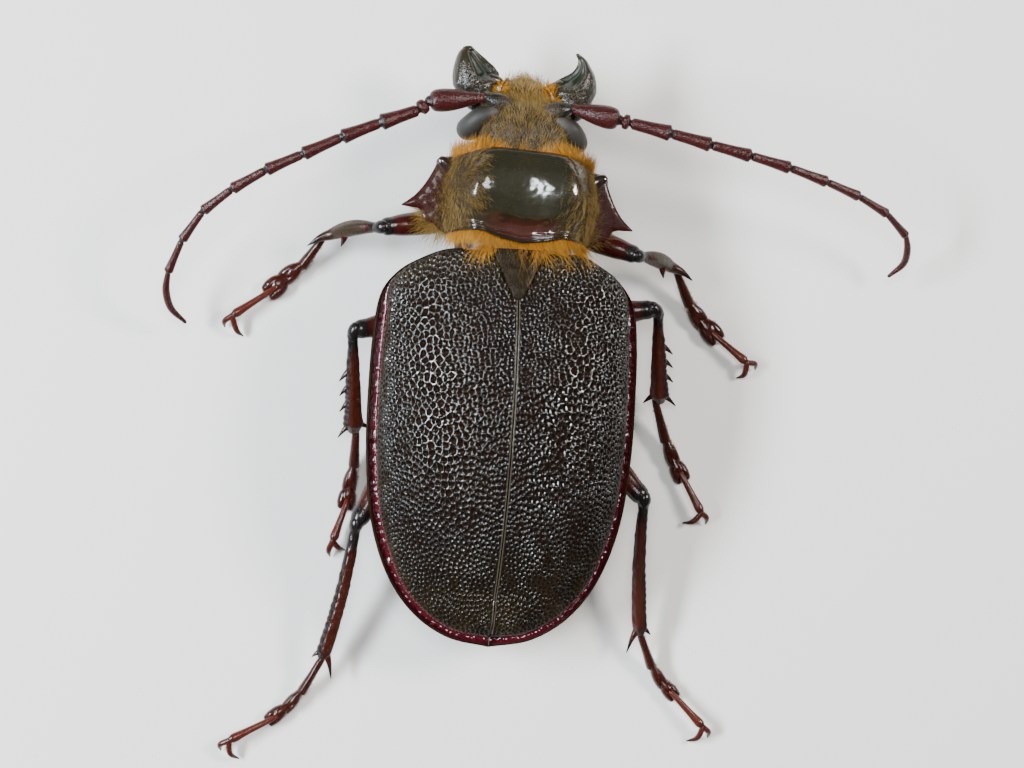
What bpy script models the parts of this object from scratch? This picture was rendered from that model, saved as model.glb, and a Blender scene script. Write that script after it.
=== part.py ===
# A broad, heavily sculptured longhorn beetle, standing, modelled at life size.
# Sizes below are in millimetres, and closed_object() turns them into Blender's metres.
# +X is the beetle's right side, +Y is ahead of it and z = 0 is the floor.
# While the pieces are made, y = 0 is the front edge of the wing cases.

import math

import bmesh
import bpy
import numpy as np
from mathutils import Vector

MM = 0.001
GAP = 0.3
ROOM = 1.35
WELD = 1e-6

# Wing cases: the outer edge of the right one from the middle of its base round to the
# apex, and the height of the line where the two meet, from front to back.
WING_EDGE = [
    (0.0, 0.15, 10.4),
    (2.9, 0.3, 9.6),
    (4.7, 0.3, 8.8),
    (6.4, -0.35, 7.4),
    (7.9, -1.35, 6.5),
    (9.0, -3.0, 6.1),
    (9.4, -6.0, 6.0),
    (9.5, -10.3, 5.8),
    (9.4, -14.0, 5.7),
    (8.9, -18.4, 5.55),
    (7.6, -22.3, 5.35),
    (5.6, -25.1, 5.2),
    (3.0, -26.8, 5.05),
    (0.0, -27.4, 5.0),
]
SEAM_Y = [0.0, -3.2, -5.1, -8.7, -13.7, -16.8, -19.6, -22.2, -23.9]
SEAM_Z = [10.9, 11.5, 12.0, 12.3, 11.8, 11.0, 10.0, 8.6, 7.5]
SEAM_FRONT = -3.2
SEAM_BACK = -23.4
WING_WALL = 0.7
WING_RIM = 0.7
WING_RIM_LIP = 0.25
WING_FULLNESS = 0.85
WING_STEPS_AROUND = 3
WING_STEPS_ACROSS = 8
WING_STEPS_UNDER = 4

SCUTELLUM_HALF = [(1.75, 0.45), (1.55, -0.4), (1.05, -1.7), (0.4, -2.85)]
SCUTELLUM_THICK = 0.8
SCUTELLUM_FRONT_Z = 10.5
SCUTELLUM_TIP_Z = 11.3

# Trunk under the wing cases.
TRUNK_SPLIT_Y = -11.4
TRUNK_BACK_Y = -25.5
BELLY_Y = [1.7, -4.0, -10.0, -16.0, -22.0, -25.5]
BELLY_Z = [3.2, 2.6, 2.4, 2.8, 3.6, 4.4]
TRUNK_TOP_DROP = 1.25
NECK_OF_WINGS = [(0, -3.0, 6.2, 4.3, 2.5), (0, 1.75, 6.2, 3.9, 2.5)]
TRUNK_SIDES = 20
TRUNK_BACK_TAPER = 2.0
STERNITE_COUNT = 5
STERNITE_STEP = 0.22

# Fore body, turned a little to the right of the hind body's line.
PRONOTUM_AT = (0.27, 0.95)
PRONOTUM_YAW = -3.0
PRONOTUM_MARGIN_Z = 6.4
PRONOTUM_EDGE = 0.35
PRONOTUM_REAR = [(0.0, 0.0), (1.6, 0.25), (3.0, 0.6), (4.9, 0.25)]
PRONOTUM_FRONT = [(0.0, 6.5), (2.0, 6.5), (3.0, 6.35), (4.8, 5.7)]
PRONOTUM_SIDE = [(0.0, 4.9), (0.12, 5.6), (0.3, 6.5), (0.5, 6.65), (0.72, 6.3), (0.86, 5.9), (1.0, 4.8)]
PRONOTUM_TOP_Z = [(0.0, 9.7), (0.12, 9.6), (0.3, 10.0), (0.5, 10.3), (0.75, 10.0), (1.0, 9.2)]
PRONOTUM_BUMP = 0.55
PRONOTUM_BUMP_AT = (3.1, 0.45)
PRONOTUM_DIP = 0.5
PRONOTUM_COLUMNS = 17
PROSTERNUM_Z = 2.7
SIDE_SPINE = [(5.9, 2.75, 6.25, 0.95, 0.5), (7.1, 2.35, 6.3, 0.55, 0.38), (8.25, 1.95, 6.35, 0.14, 0.14)]
FRONT_TOOTH = [(5.1, 5.1, 6.2, 0.7, 0.45), (5.8, 5.5, 6.25, 0.52, 0.4), (6.2, 5.7, 6.2, 0.3, 0.3)]

HEAD_AT = (0.34, 8.55)
HEAD_YAW = -4.5
HEAD_SECTIONS = [
    (-2.3, 2.7, 4.3, 8.0),
    (-1.1, 3.1, 4.0, 8.6),
    (0.2, 3.45, 3.7, 8.75),
    (1.1, 3.25, 3.6, 8.5),
    (1.9, 3.35, 3.9, 8.0),
    (2.4, 3.65, 4.2, 7.2),
    (2.6, 3.3, 4.6, 6.7),
]
TUBERCLE = [(1.5, 1.75, 7.5, 0.7, 0.6), (2.25, 2.05, 7.9, 0.62, 0.5), (2.75, 2.2, 7.8, 0.4, 0.4)]
EYE = [
    (2.35, 1.3, 7.85, 0.42, 0.42),
    (3.2, 0.85, 7.6, 0.72, 0.7),
    (3.72, 0.2, 6.9, 0.86, 0.8),
    (3.75, 0.05, 6.0, 0.86, 0.8),
    (3.55, 0.3, 5.2, 0.7, 0.7),
    (3.1, 0.85, 4.75, 0.42, 0.42),
]
LABRUM = [(0, 3.05, 5.6, 1.5, 0.5), (0, 3.35, 5.45, 1.45, 0.45), (0, 3.65, 5.1, 1.0, 0.3)]
LABIUM = [(0, 2.7, 4.2, 1.3, 0.35), (0, 3.1, 4.05, 1.1, 0.3), (0, 3.45, 3.9, 0.7, 0.25)]
PALP_ROUTES = {
    "maxillary": [(1.9, 2.75, 3.75), (2.5, 3.2, 3.5), (3.1, 3.6, 3.2), (3.5, 4.2, 2.7)],
    "labial": [(0.7, 3.3, 3.6), (1.05, 3.8, 3.3), (1.1, 4.2, 2.9)],
}
PALP_HALF = 0.28

# Mandibles gape, and each is rolled its own way: centre, half width, half height.
MANDIBLES = {
    "left": [
        (-2.85, 11.75, 5.8, 1.4, 1.1),
        (-3.05, 12.5, 5.8, 1.68, 1.2),
        (-3.45, 13.35, 5.85, 1.32, 1.1),
        (-3.7, 13.95, 5.95, 0.92, 0.9),
        (-3.85, 14.35, 6.05, 0.52, 0.6),
        (-3.75, 14.6, 6.1, 0.26, 0.3),
    ],
    "right": [
        (3.95, 11.4, 5.8, 1.35, 1.1),
        (3.98, 12.2, 5.8, 1.6, 1.2),
        (4.5, 13.1, 5.85, 0.98, 1.1),
        (4.56, 13.7, 5.95, 0.56, 0.9),
        (4.42, 14.25, 6.05, 0.3, 0.5),
        (4.05, 14.65, 6.1, 0.14, 0.2),
    ],
}
MANDIBLE_TEETH = {
    "left": [(-2.0, 12.5, 5.8, 0.5, 0.55), (-1.1, 12.3, 5.8, 0.16, 0.2)],
    "right": [(2.9, 12.3, 5.8, 0.5, 0.55), (2.0, 12.15, 5.8, 0.16, 0.2)],
}

# Antennae: the joints from the head outwards. The last piece bends over two more points.
ANTENNA_JOINTS = {
    "left": [
        (-2.5, 11.0, 7.75),
        (-6.45, 10.47, 8.2),
        (-7.19, 9.79, 8.3),
        (-9.81, 8.71, 8.7),
        (-12.45, 7.53, 8.8),
        (-15.06, 6.2, 8.7),
        (-17.51, 4.98, 8.3),
        (-19.73, 3.58, 7.6),
        (-21.61, 2.01, 6.7),
        (-22.92, -0.03, 5.7),
        (-23.74, -2.25, 4.5),
    ],
    "right": [
        (3.4, 10.65, 7.75),
        (6.88, 10.02, 8.2),
        (7.65, 9.85, 8.3),
        (10.52, 9.27, 8.7),
        (13.39, 8.64, 8.8),
        (16.3, 8.06, 8.7),
        (19.24, 7.43, 8.3),
        (22.13, 6.67, 7.6),
        (24.75, 5.86, 6.7),
        (27.14, 4.82, 5.7),
        (28.96, 3.41, 4.5),
    ],
}
ANTENNA_TIPS = {
    "left": [(-23.8, -3.49, 3.7), (-23.37, -4.7, 2.8), (-22.32, -5.6, 2.0)],
    "right": [(29.33, 2.44, 3.7), (29.33, 1.47, 2.8), (28.53, 0.58, 2.0)],
}
ANTENNA_HALF = [0.8, 0.52, 0.53, 0.48, 0.45, 0.42, 0.39, 0.36, 0.33, 0.3, 0.27]
ANTENNA_NODES = {
    "scape": [0],
    "pedicel": [1],
    "flagellum_base": [2, 3, 4],
    "flagellum_mid": [5, 6, 7],
    "flagellum_tip": [8, 9, 10],
}

# Legs: where each joint of the standing pose lies.
COXAE = {
    "fore": [(0.9, 3.0, 3.05, 0.8, 0.8), (2.2, 2.9, 3.0, 1.0, 0.95), (3.3, 2.75, 3.15, 0.8, 0.8)],
    "mid": [(1.2, -3.8, 3.0, 0.8, 0.8), (2.6, -3.95, 2.95, 1.0, 0.95), (3.8, -4.1, 3.1, 0.8, 0.8)],
    "hind": [(0.9, -10.1, 2.9, 0.7, 0.75), (3.0, -10.2, 2.8, 1.0, 0.9), (4.9, -10.5, 2.95, 0.7, 0.7)],
}
LEG_POSES = {
    "fore_left": {
        "knee": (-9.1, 1.7, 5.8),
        "ankle": (-12.78, 0.97, 2.2),
        "toes": [(-14.15, -1.05, 0.9), (-15.3, -1.96, 0.5), (-16.24, -2.94, 0.5)],
        "claw_base": (-18.94, -4.9, 1.1),
        "claws": [[(-18.62, -5.95, 0.75), (-18.12, -6.33, 0.3)], [(-19.5, -5.35, 0.7), (-19.45, -5.75, 0.28)]],
    },
    "mid_left": {
        "knee": (-10.56, -5.58, 5.2),
        "ankle": (-9.86, -12.46, 2.0),
        "shin_aside": 0.15,
        "toes": [(-9.77, -15.13, 0.9), (-10.01, -16.73, 0.5), (-10.16, -17.88, 0.5)],
        "claw_base": (-11.0, -20.54, 1.1),
        "claws": [[(-10.55, -21.1, 0.75), (-10.04, -21.26, 0.28)], [(-11.25, -21.3, 0.75), (-11.1, -21.75, 0.28)]],
    },
    "hind_left": {
        "knee": (-9.68, -19.15, 4.4),
        "ankle": (-11.35, -28.76, 1.9),
        "toes": [(-12.63, -31.41, 0.9), (-13.55, -32.56, 0.5), (-14.64, -33.45, 0.5)],
        "claw_base": (-17.58, -35.05, 1.1),
        "claws": [[(-17.5, -36.05, 0.75), (-16.85, -36.45, 0.28)], [(-18.25, -35.45, 0.75), (-18.15, -35.9, 0.28)]],
    },
    "fore_right": {
        "knee": (9.16, 0.74, 5.8),
        "ankle": (12.58, 0.09, 2.2),
        "toes": [(14.0, -2.25, 0.9), (14.97, -3.43, 0.5), (16.06, -4.46, 0.5)],
        "claw_base": (18.41, -6.24, 1.1),
        "claws": [[(18.4, -7.15, 0.75), (17.95, -7.45, 0.28)], [(19.15, -6.35, 0.75), (19.3, -6.75, 0.28)]],
    },
    "mid_right": {
        "knee": (10.62, -2.92, 5.2),
        "ankle": (11.64, -9.29, 2.0),
        "shin_aside": 0.3,
        "toes": [(12.75, -12.22, 0.9), (13.49, -13.65, 0.5), (14.15, -14.78, 0.5)],
        "claw_base": (15.64, -17.31, 1.1),
        "claws": [[(15.15, -18.05, 0.75), (14.5, -18.2, 0.28)], [(16.15, -17.75, 0.75), (16.2, -18.2, 0.28)]],
    },
    "hind_right": {
        "knee": (10.72, -16.49, 4.6),
        "ankle": (11.44, -26.14, 1.9),
        "toes": [(12.57, -28.65, 0.9), (13.45, -29.82, 0.5), (14.31, -30.66, 0.5)],
        "claw_base": (16.53, -32.84, 1.1),
        "claws": [[(16.3, -33.75, 0.75), (15.62, -34.06, 0.28)], [(17.1, -33.3, 0.75), (17.15, -33.75, 0.28)]],
    },
}
# Half widths of the femur, tibia, first toe joint and the two lobed toe joints, and how
# far the pieces keep from the middle of the hip end and the knee.
LEG_HALVES = {
    "fore": {"femur": 0.74, "tibia": 0.58, "toe": 0.42, "lobes": (0.62, 0.78), "hip": 0.35, "knee": 0.55},
    "mid": {"femur": 0.78, "tibia": 0.56, "toe": 0.4, "lobes": (0.52, 0.66), "hip": 0.32, "knee": 0.7},
    "hind": {"femur": 0.8, "tibia": 0.6, "toe": 0.36, "lobes": (0.45, 0.55), "hip": 0.52, "knee": 0.42},
}
FEMUR_SHAPE = [(0.0, 0.5), (0.12, 0.72), (0.4, 1.0), (0.75, 0.95), (0.95, 0.78), (1.0, 0.55)]
TIBIA_SHAPE = [(0.0, 0.55), (0.1, 0.68), (0.45, 0.8), (0.85, 1.05), (1.0, 0.95)]
LAST_TOE_HALF = 0.28
CLAW_HALF = 0.25
# Spines along each tibia: share of its length, then how far the tip lies ahead of the root
# along the tibia, outward and up.
TIBIA_SPINES = {
    "fore": [(0.88, 1.8, -0.45, -0.35), (0.64, 0.4, -0.85, -0.5)],
    "mid": [
        (0.38, 0.6, 1.0, -0.3),
        (0.53, 0.6, 1.0, -0.3),
        (0.69, 0.6, 1.0, -0.3),
        (0.92, 1.15, 1.15, -0.3),
        (0.92, 0.7, -1.2, -0.2),
    ],
    "hind": [(0.48, 0.6, 0.85, -0.2), (0.64, 0.6, 0.85, -0.2), (0.95, 0.75, 1.0, -0.1), (0.94, 1.2, -1.6, -0.5)],
}
# Rings of a lobed toe joint: share of its length, share of its half width, half height.
LOBED_TOE_SHAPE = [(0.0, 0.35, 0.25), (0.45, 0.75, 0.5), (0.85, 1.0, 0.56), (1.05, 0.75, 0.4)]
LOBE_NOTCH = 1.1
SPINE_ROOT_HALF = 0.24
SPINE_TIP_HALF = 0.06

FINISHES = {
    "wing_case": ((0.035, 0.02, 0.018), 0.3),
    "pronotum": ((0.045, 0.035, 0.015), 0.25),
    "head": ((0.09, 0.06, 0.03), 0.5),
    "eye": ((0.06, 0.065, 0.075), 0.6),
    "mandible": ((0.03, 0.032, 0.02), 0.3),
    "mouth": ((0.12, 0.05, 0.02), 0.45),
    "antenna": ((0.07, 0.012, 0.012), 0.25),
    "leg": ((0.07, 0.015, 0.01), 0.25),
    "foot": ((0.12, 0.035, 0.015), 0.4),
    "belly": ((0.06, 0.025, 0.015), 0.4),
}


def smooth(stations, steps):
    """Rows along a smooth curve that passes through every given row, a few for each stretch."""
    given = np.array(stations, float)
    before = 2 * given[0] - given[1]
    after = 2 * given[-1] - given[-2]
    rows = np.vstack([before, given, after])
    found = []
    for i in range(len(given) - 1):
        a, b, c, d = rows[i : i + 4]
        for t in np.linspace(0, 1, steps, endpoint=False):
            bend = (2 * a - 5 * b + 4 * c - d) * t * t
            found.append(0.5 * (2 * b + (c - a) * t + bend + (3 * b - a - 3 * c + d) * t**3))
    found.append(given[-1])
    return np.array(found)


def turned(rows, at, yaw):
    """The rows' points turned by yaw degrees about +Z and moved to a place on the floor plan."""
    rows = np.array(rows, float)
    cos, sin = math.cos(math.radians(yaw)), math.sin(math.radians(yaw))
    moved = rows.copy()
    moved[:, 0] = at[0] + rows[:, 0] * cos - rows[:, 1] * sin
    moved[:, 1] = at[1] + rows[:, 0] * sin + rows[:, 1] * cos
    return moved


def mirrored(rows, side):
    """The rows as given for the right side, or with x reversed for the left."""
    rows = np.array(rows, float)
    if side == "left":
        rows[:, 0] *= -1
    return rows


def closed_object(name, bm):
    """Turns a finished bmesh in millimetres into an object, cleaned, triangulated and facing out."""
    for vertex in bm.verts:
        vertex.co *= MM
    bmesh.ops.remove_doubles(bm, verts=bm.verts, dist=WELD)
    bmesh.ops.dissolve_degenerate(bm, edges=bm.edges, dist=WELD)
    bmesh.ops.triangulate(bm, faces=bm.faces)
    bmesh.ops.recalc_face_normals(bm, faces=bm.faces)
    mesh = bpy.data.meshes.new(name)
    bm.to_mesh(mesh)
    bm.free()
    made = bpy.data.objects.new(name, mesh)
    bpy.context.scene.collection.objects.link(made)
    return made


def lofted(name, rings, around=False):
    """A closed mesh through rings of equal length: capped at both ends, or closed on itself."""
    bm = bmesh.new()
    rows = [[bm.verts.new(Vector(point)) for point in ring] for ring in rings]
    pairs = list(zip(rows, rows[1:] + rows[:1] if around else rows[1:]))
    for first, second in pairs:
        for i, corner in enumerate(first):
            j = (i + 1) % len(first)
            bm.faces.new((corner, first[j], second[j], second[i]))
    if not around:
        bm.faces.new(list(reversed(rows[0])))
        bm.faces.new(rows[-1])
    return closed_object(name, bm)


def tube(name, stations, sides=10, steps=2, grow=0.0, flat_side=(0, 0, 1)):
    """A closed tube along smooth stations of x, y, z, half width and half height.
    Grow makes it bigger by that much all round, also past its ends."""
    path = smooth(stations, steps)
    heads = np.gradient(path[:, :3], axis=0)
    path[0, :3] -= heads[0] / np.linalg.norm(heads[0]) * grow
    path[-1, :3] += heads[-1] / np.linalg.norm(heads[-1]) * grow
    rings = []
    for row, ahead in zip(path, heads):
        across = Vector(ahead).cross(Vector(flat_side)).normalized()
        over = across.cross(Vector(ahead)).normalized()
        wide, high = row[3] + grow, row[4] + grow
        ring = []
        for i in range(sides):
            angle = 2 * math.pi * (i + 0.5) / sides
            ring.append(Vector(row[:3]) + across * wide * math.cos(angle) + over * high * math.sin(angle))
        rings.append(ring)
    return lofted(name, rings)


def limb(name, start, end, shape, half, flatness=1.0, grow=0.0, sides=10):
    """A straight limb piece, its half width following a shape of (share of length, share of half)."""
    start, end = np.array(start, float), np.array(end, float)
    along = (end - start) / np.linalg.norm(end - start)
    stations = []
    for share, size in shape:
        place = start + (end - start) * share
        stations.append([*place, half * size, half * size * flatness])
    first, last = stations[0], stations[-1]
    tip = half * 0.3
    stations.insert(0, [*(start - along * tip), first[3] * 0.5, first[4] * 0.5])
    stations.append([*(end + along * tip), last[3] * 0.5, last[4] * 0.5])
    return tube(name, stations, sides, 1, grow)


def box(name, low, high):
    """A closed block between two corners."""
    bm = bmesh.new()
    bmesh.ops.create_cube(bm, size=1)
    low, high = Vector(low), Vector(high)
    for vertex in bm.verts:
        share = vertex.co + Vector((0.5, 0.5, 0.5))
        vertex.co = Vector([a + (b - a) * s for a, b, s in zip(low, high, share)])
    return closed_object(name, bm)


def combine(base, others, operation, solver="EXACT"):
    """Joins or cuts base by the other closed meshes with one Boolean, applies it and removes them."""
    if not others:
        return
    group = bpy.data.collections.new(base.name + "_helpers")
    bpy.context.scene.collection.children.link(group)
    for other in others:
        bpy.context.scene.collection.objects.unlink(other)
        group.objects.link(other)
    boolean = base.modifiers.new(operation.title(), "BOOLEAN")
    boolean.operation = operation
    boolean.operand_type = "COLLECTION"
    boolean.collection = group
    boolean.solver = solver
    graph = bpy.context.evaluated_depsgraph_get()
    result = bpy.data.meshes.new_from_object(base.evaluated_get(graph))
    base.modifiers.clear()
    base.data = result
    for other in list(group.objects):
        bpy.data.objects.remove(other)
    bpy.data.collections.remove(group)


def keep_largest_surface(made):
    """Leaves only the biggest closed surface of a mesh, measured by the volume of its box."""
    bm = bmesh.new()
    bm.from_mesh(made.data)
    unseen, islands = set(bm.verts), []
    while unseen:
        front = [unseen.pop()]
        island = set(front)
        while front:
            for edge in front.pop().link_edges:
                for vertex in edge.verts:
                    if vertex in unseen:
                        unseen.discard(vertex)
                        island.add(vertex)
                        front.append(vertex)
        islands.append(island)

    def box_volume(island):
        places = np.array([vertex.co for vertex in island])
        return float(np.prod(places.max(axis=0) - places.min(axis=0)))

    islands.sort(key=box_volume)
    scraps = [vertex for island in islands[:-1] for vertex in island]
    bmesh.ops.delete(bm, geom=scraps, context="VERTS")
    bm.to_mesh(made.data)
    bm.free()


def face_out(made):
    """Turns every face of a mesh outwards."""
    bm = bmesh.new()
    bm.from_mesh(made.data)
    bmesh.ops.recalc_face_normals(bm, faces=bm.faces)
    bm.to_mesh(made.data)
    bm.free()


def node(name, finish, pieces, cutters=()):
    """One named sub-part: its pieces joined, its cutters taken away, with its own material."""
    base = pieces[0]
    base.name = name
    base.data.name = name
    combine(base, list(pieces[1:]), "UNION")
    combine(base, list(cutters), "DIFFERENCE")
    keep_largest_surface(base)
    face_out(base)
    base.data.shade_smooth()
    base.data.set_sharp_from_angle(angle=math.radians(50))
    colour, roughness = FINISHES[finish]
    made = bpy.data.materials.new(name)
    made.use_nodes = True
    shader = made.node_tree.nodes["Principled BSDF"]
    shader.inputs["Base Color"].default_value = (*colour, 1)
    shader.inputs["Roughness"].default_value = roughness
    shader.inputs["Metallic"].default_value = 0
    base.data.materials.clear()
    base.data.materials.append(made)
    return base


def wing_edge():
    """The whole outer edge of both wing cases, from the front middle round the right side."""
    right = smooth(WING_EDGE, WING_STEPS_AROUND)
    left = right[-2:0:-1] * (-1, 1, 1)
    return np.vstack([right, left])


def seam_at(y):
    """The point of the seam line that a stretch of the outer edge at y rises to."""
    y = min(max(y, SEAM_BACK), SEAM_FRONT)
    return np.array([0, y, np.interp(-y, [-s for s in SEAM_Y], SEAM_Z)])


def wing_dome():
    """Both wing cases as one thin dome: over the top to the rim, round it and back underneath."""
    rings = []
    for edge in wing_edge():
        seam = seam_at(edge[1])
        flat = np.array([edge[0] - seam[0], edge[1] - seam[1], 0])
        reach = np.linalg.norm(flat)
        out = flat / reach
        behind_shoulder = np.clip((-edge[1] - 1.5) / 2.5, 0, 1)
        rim = 0.12 + (WING_RIM - 0.12) * behind_shoulder
        ring = []

        def arch(foot_reach, foot_z, top_z, steps):
            for i in range(steps + 1):
                angle = math.pi / 2 * i / steps
                rise = math.cos(angle) ** WING_FULLNESS if i < steps else 0
                place = seam + out * foot_reach * math.sin(angle)
                yield (place[0], place[1], foot_z + (top_z - foot_z) * rise)

        ring.extend(arch(reach - rim, edge[2], seam[2], WING_STEPS_ACROSS))
        ring.append((edge[0], edge[1], edge[2] + WING_RIM_LIP * behind_shoulder))
        under = edge - out * 0.1
        ring.append((under[0], under[1], edge[2] - 0.35))
        inner = list(arch(reach - rim - WING_WALL, edge[2] - 0.35, seam[2] - WING_WALL, WING_STEPS_UNDER))
        ring.extend(reversed(inner))
        rings.append(ring)
    bm = bmesh.new()
    rows = [[bm.verts.new(Vector(point)) for point in ring] for ring in rings]
    for first, second in zip(rows, rows[1:] + rows[:1]):
        for i in range(len(first) - 1):
            bm.faces.new((first[i], first[i + 1], second[i + 1], second[i]))
    return closed_object("wing_dome", bm)


def scutellum_outline(grow):
    """The shield's outline, made wider by the given amount, with a blunt tip behind."""
    half = [(x + grow, y) for x, y in SCUTELLUM_HALF]
    tip = (0, SCUTELLUM_HALF[-1][1] - 0.25 - grow)
    return half + [tip] + [(-x, y) for x, y in reversed(half)]


def make_wing_cases():
    cutter_low, cutter_high = 2.0, 14.0
    for side, sign in (("left", -1), ("right", 1)):
        dome = wing_dome()
        outline = scutellum_outline(GAP)
        front = [(x, y + (2 if y > 0 else 0)) for x, y in outline]
        notch = lofted("notch", [[(x, y, cutter_low) for x, y in front], [(x, y, cutter_high) for x, y in front]])
        edges = sorted((sign * GAP / 2, -sign * 15))
        half = box("half", (edges[0], -30, 0), (edges[1], 5, 20))
        node("elytron_" + side, "wing_case", [dome], [half, notch])


def make_scutellum():
    def height(y):
        front, tip = SCUTELLUM_HALF[0][1], SCUTELLUM_HALF[-1][1]
        share = (front - y) / (front - tip)
        return SCUTELLUM_FRONT_Z + (SCUTELLUM_TIP_Z - SCUTELLUM_FRONT_Z) * share

    outline = scutellum_outline(0)
    low = [(x, y, height(y) - SCUTELLUM_THICK) for x, y in outline]
    high = [(x, y, height(y)) for x, y in outline]
    crown = [(x * 0.6, y * 0.7 - 0.3, height(y * 0.7 - 0.3) + 0.2) for x, y in outline]
    node("scutellum", "head", [lofted("scutellum", [low, high, crown])])


def trunk_section(y, step):
    """The trunk's outline across the body at y: under the wing cases above, the belly below."""
    right = smooth(WING_EDGE, WING_STEPS_AROUND)[6:]
    fall = max(0, (SEAM_BACK - y) / (SEAM_BACK - WING_EDGE[-1][1]))
    half = np.interp(-y, -right[:, 1], right[:, 0]) - WING_RIM - WING_WALL - 2 * GAP - step
    half -= TRUNK_BACK_TAPER * fall
    side_z = np.interp(-y, -right[:, 1], right[:, 2]) - 0.3
    belly = np.interp(-y, [-b for b in BELLY_Y], BELLY_Z) + step
    seam_z = np.interp(-y, [-s for s in SEAM_Y], SEAM_Z)
    top = side_z + (seam_z - TRUNK_TOP_DROP - side_z) * (1 - fall) ** 0.85
    ring = []
    for i in range(TRUNK_SIDES):
        angle = 2 * math.pi * i / TRUNK_SIDES
        x, up = math.cos(angle), math.sin(angle)
        if up >= 0:
            z = side_z + (top - side_z) * up**WING_FULLNESS
        else:
            z = belly + (side_z - belly) * abs(x) ** 1.8
        ring.append((half * x, y, z))
    return ring


def make_trunk():
    back_of_thorax = TRUNK_SPLIT_Y + GAP / 2
    front = [trunk_section(y, 0) for y in (-2.2, -3.6, -5.4, -8.2, back_of_thorax)]
    thorax = lofted("thorax", front)
    neck = tube("neck", NECK_OF_WINGS, 16)
    cutters = [coxa(which, side, GAP) for which in ("mid", "hind") for side in ("left", "right")]
    cutters += [femur(which, side, GAP) for which in ("mid", "hind") for side in ("left", "right")]
    node("pterothorax", "belly", [thorax, neck], cutters)

    start = TRUNK_SPLIT_Y - GAP / 2
    length = (start - TRUNK_BACK_Y) / STERNITE_COUNT
    rings = []
    for i in range(STERNITE_COUNT):
        rings.append(trunk_section(start - length * i, STERNITE_STEP if i else 0))
        rings.append(trunk_section(start - length * (i + 0.15), 0))
        rings.append(trunk_section(start - length * (i + 0.97), 0))
    cutters = [coxa("hind", side, GAP) for side in ("left", "right")]
    cutters += [femur("hind", side, GAP) for side in ("left", "right")]
    node("abdomen", "belly", [lofted("abdomen", rings)], cutters)


def pronotum_top(x, share):
    """Height of the fore body's shield at x mm from its middle and a share of its length."""
    along, tall = zip(*PRONOTUM_TOP_Z)
    top = np.interp(share, along, tall)
    edge = 4.9 + 0.5 * math.sin(math.pi * share)
    s = min(1.0, abs(x) / edge)
    rise = (1 - s**3.2) ** 0.8
    bump_x, bump_share = PRONOTUM_BUMP_AT
    far = ((abs(x) - bump_x) / 1.5) ** 2 + ((share - bump_share) / 0.3) ** 2
    dip = (x / 1.3) ** 2 + ((share - 0.45) / 0.3) ** 2
    z = PRONOTUM_MARGIN_Z + (top - PRONOTUM_MARGIN_Z) * rise
    return z + PRONOTUM_BUMP * math.exp(-far) * rise - PRONOTUM_DIP * math.exp(-dip)


def pronotum_point(u, share):
    """Plan place of a point at u of the half width and a share of the length."""
    shares, halves = zip(*PRONOTUM_SIDE)
    x = u * np.interp(share, shares, halves)
    rear = np.interp(abs(u) * 4.9, *zip(*PRONOTUM_REAR))
    front = np.interp(abs(u) * 4.8, *zip(*PRONOTUM_FRONT))
    return x, rear + (front - rear) * share


def make_pronotum():
    even = np.linspace(-1, 1, PRONOTUM_COLUMNS)
    across = 0.45 * even + 0.55 * np.sin(even * math.pi / 2)
    rings = []
    for share in (0, 0.08, 0.2, 0.32, 0.45, 0.58, 0.72, 0.86, 1.0):
        over, under = [], []
        for u in across:
            x, y = pronotum_point(u, share)
            over.append((x, y, pronotum_top(x, share)))
            keel = min(1.0, (abs(u) / 0.85)) ** 2.2
            low = PROSTERNUM_Z + (PRONOTUM_MARGIN_Z - PRONOTUM_EDGE - PROSTERNUM_Z) * keel
            under.append((x, y, low))
        ring = [*over, *reversed(under)]
        rings.append(turned(ring, PRONOTUM_AT, PRONOTUM_YAW))
    body = lofted("shield", rings)
    horns = []
    for side in ("left", "right"):
        for shape in (SIDE_SPINE, FRONT_TOOTH):
            stations = turned(mirrored(shape, side), PRONOTUM_AT, PRONOTUM_YAW)
            horns.append(tube("horn", stations, 8, 1))
    cutters = [tube("socket", NECK_OF_WINGS, 16, grow=GAP * ROOM)]
    cutters.append(skull(GAP * ROOM))
    for side in ("left", "right"):
        cutters += [coxa("fore", side, GAP), femur("fore", side, GAP)]
    node("pronotum", "pronotum", [body, *horns], cutters)


def head_tube(name, stations, side="right", sides=12, steps=2, grow=0.0, flat_side=(0, 0, 1)):
    """A tube given in the head's own frame, for its right side or mirrored to its left."""
    placed = turned(mirrored(stations, side), HEAD_AT, HEAD_YAW)
    return tube(name, placed, sides, steps, grow, flat_side)


def skull(grow=0.0):
    """The head capsule, or with grow the room that the fore body leaves for its back."""
    sections = smooth([(y, half, (low + high) / 2, (high - low) / 2) for y, half, low, high in HEAD_SECTIONS], 2)
    sections[0, 0] -= grow
    rings = []
    for y, half, middle, tall in sections:
        ring = []
        for i in range(20):
            angle = 2 * math.pi * (i + 0.5) / 20
            cos, sin = math.cos(angle), math.sin(angle)
            x = (half + grow) * math.copysign(abs(cos) ** 0.8, cos)
            z = middle + (tall + grow) * math.copysign(abs(sin) ** 0.8, sin)
            ring.append((x, y, z))
        rings.append(turned(ring, HEAD_AT, HEAD_YAW))
    return lofted("skull", rings)


def make_head():
    lumps = [head_tube("lump", TUBERCLE, side, 10) for side in ("left", "right")]
    cutters = [head_tube("orbit", EYE, side, 10, 1, GAP * ROOM, (0, 1, 0)) for side in ("left", "right")]
    node("head", "head", [skull(), *lumps], cutters)
    for side in ("left", "right"):
        node("eye_" + side, "eye", [head_tube("eye", EYE, side, 12, 2, 0.0, (0, 1, 0))])
    node("labrum", "mouth", [head_tube("labrum", LABRUM, sides=12)])


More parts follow.
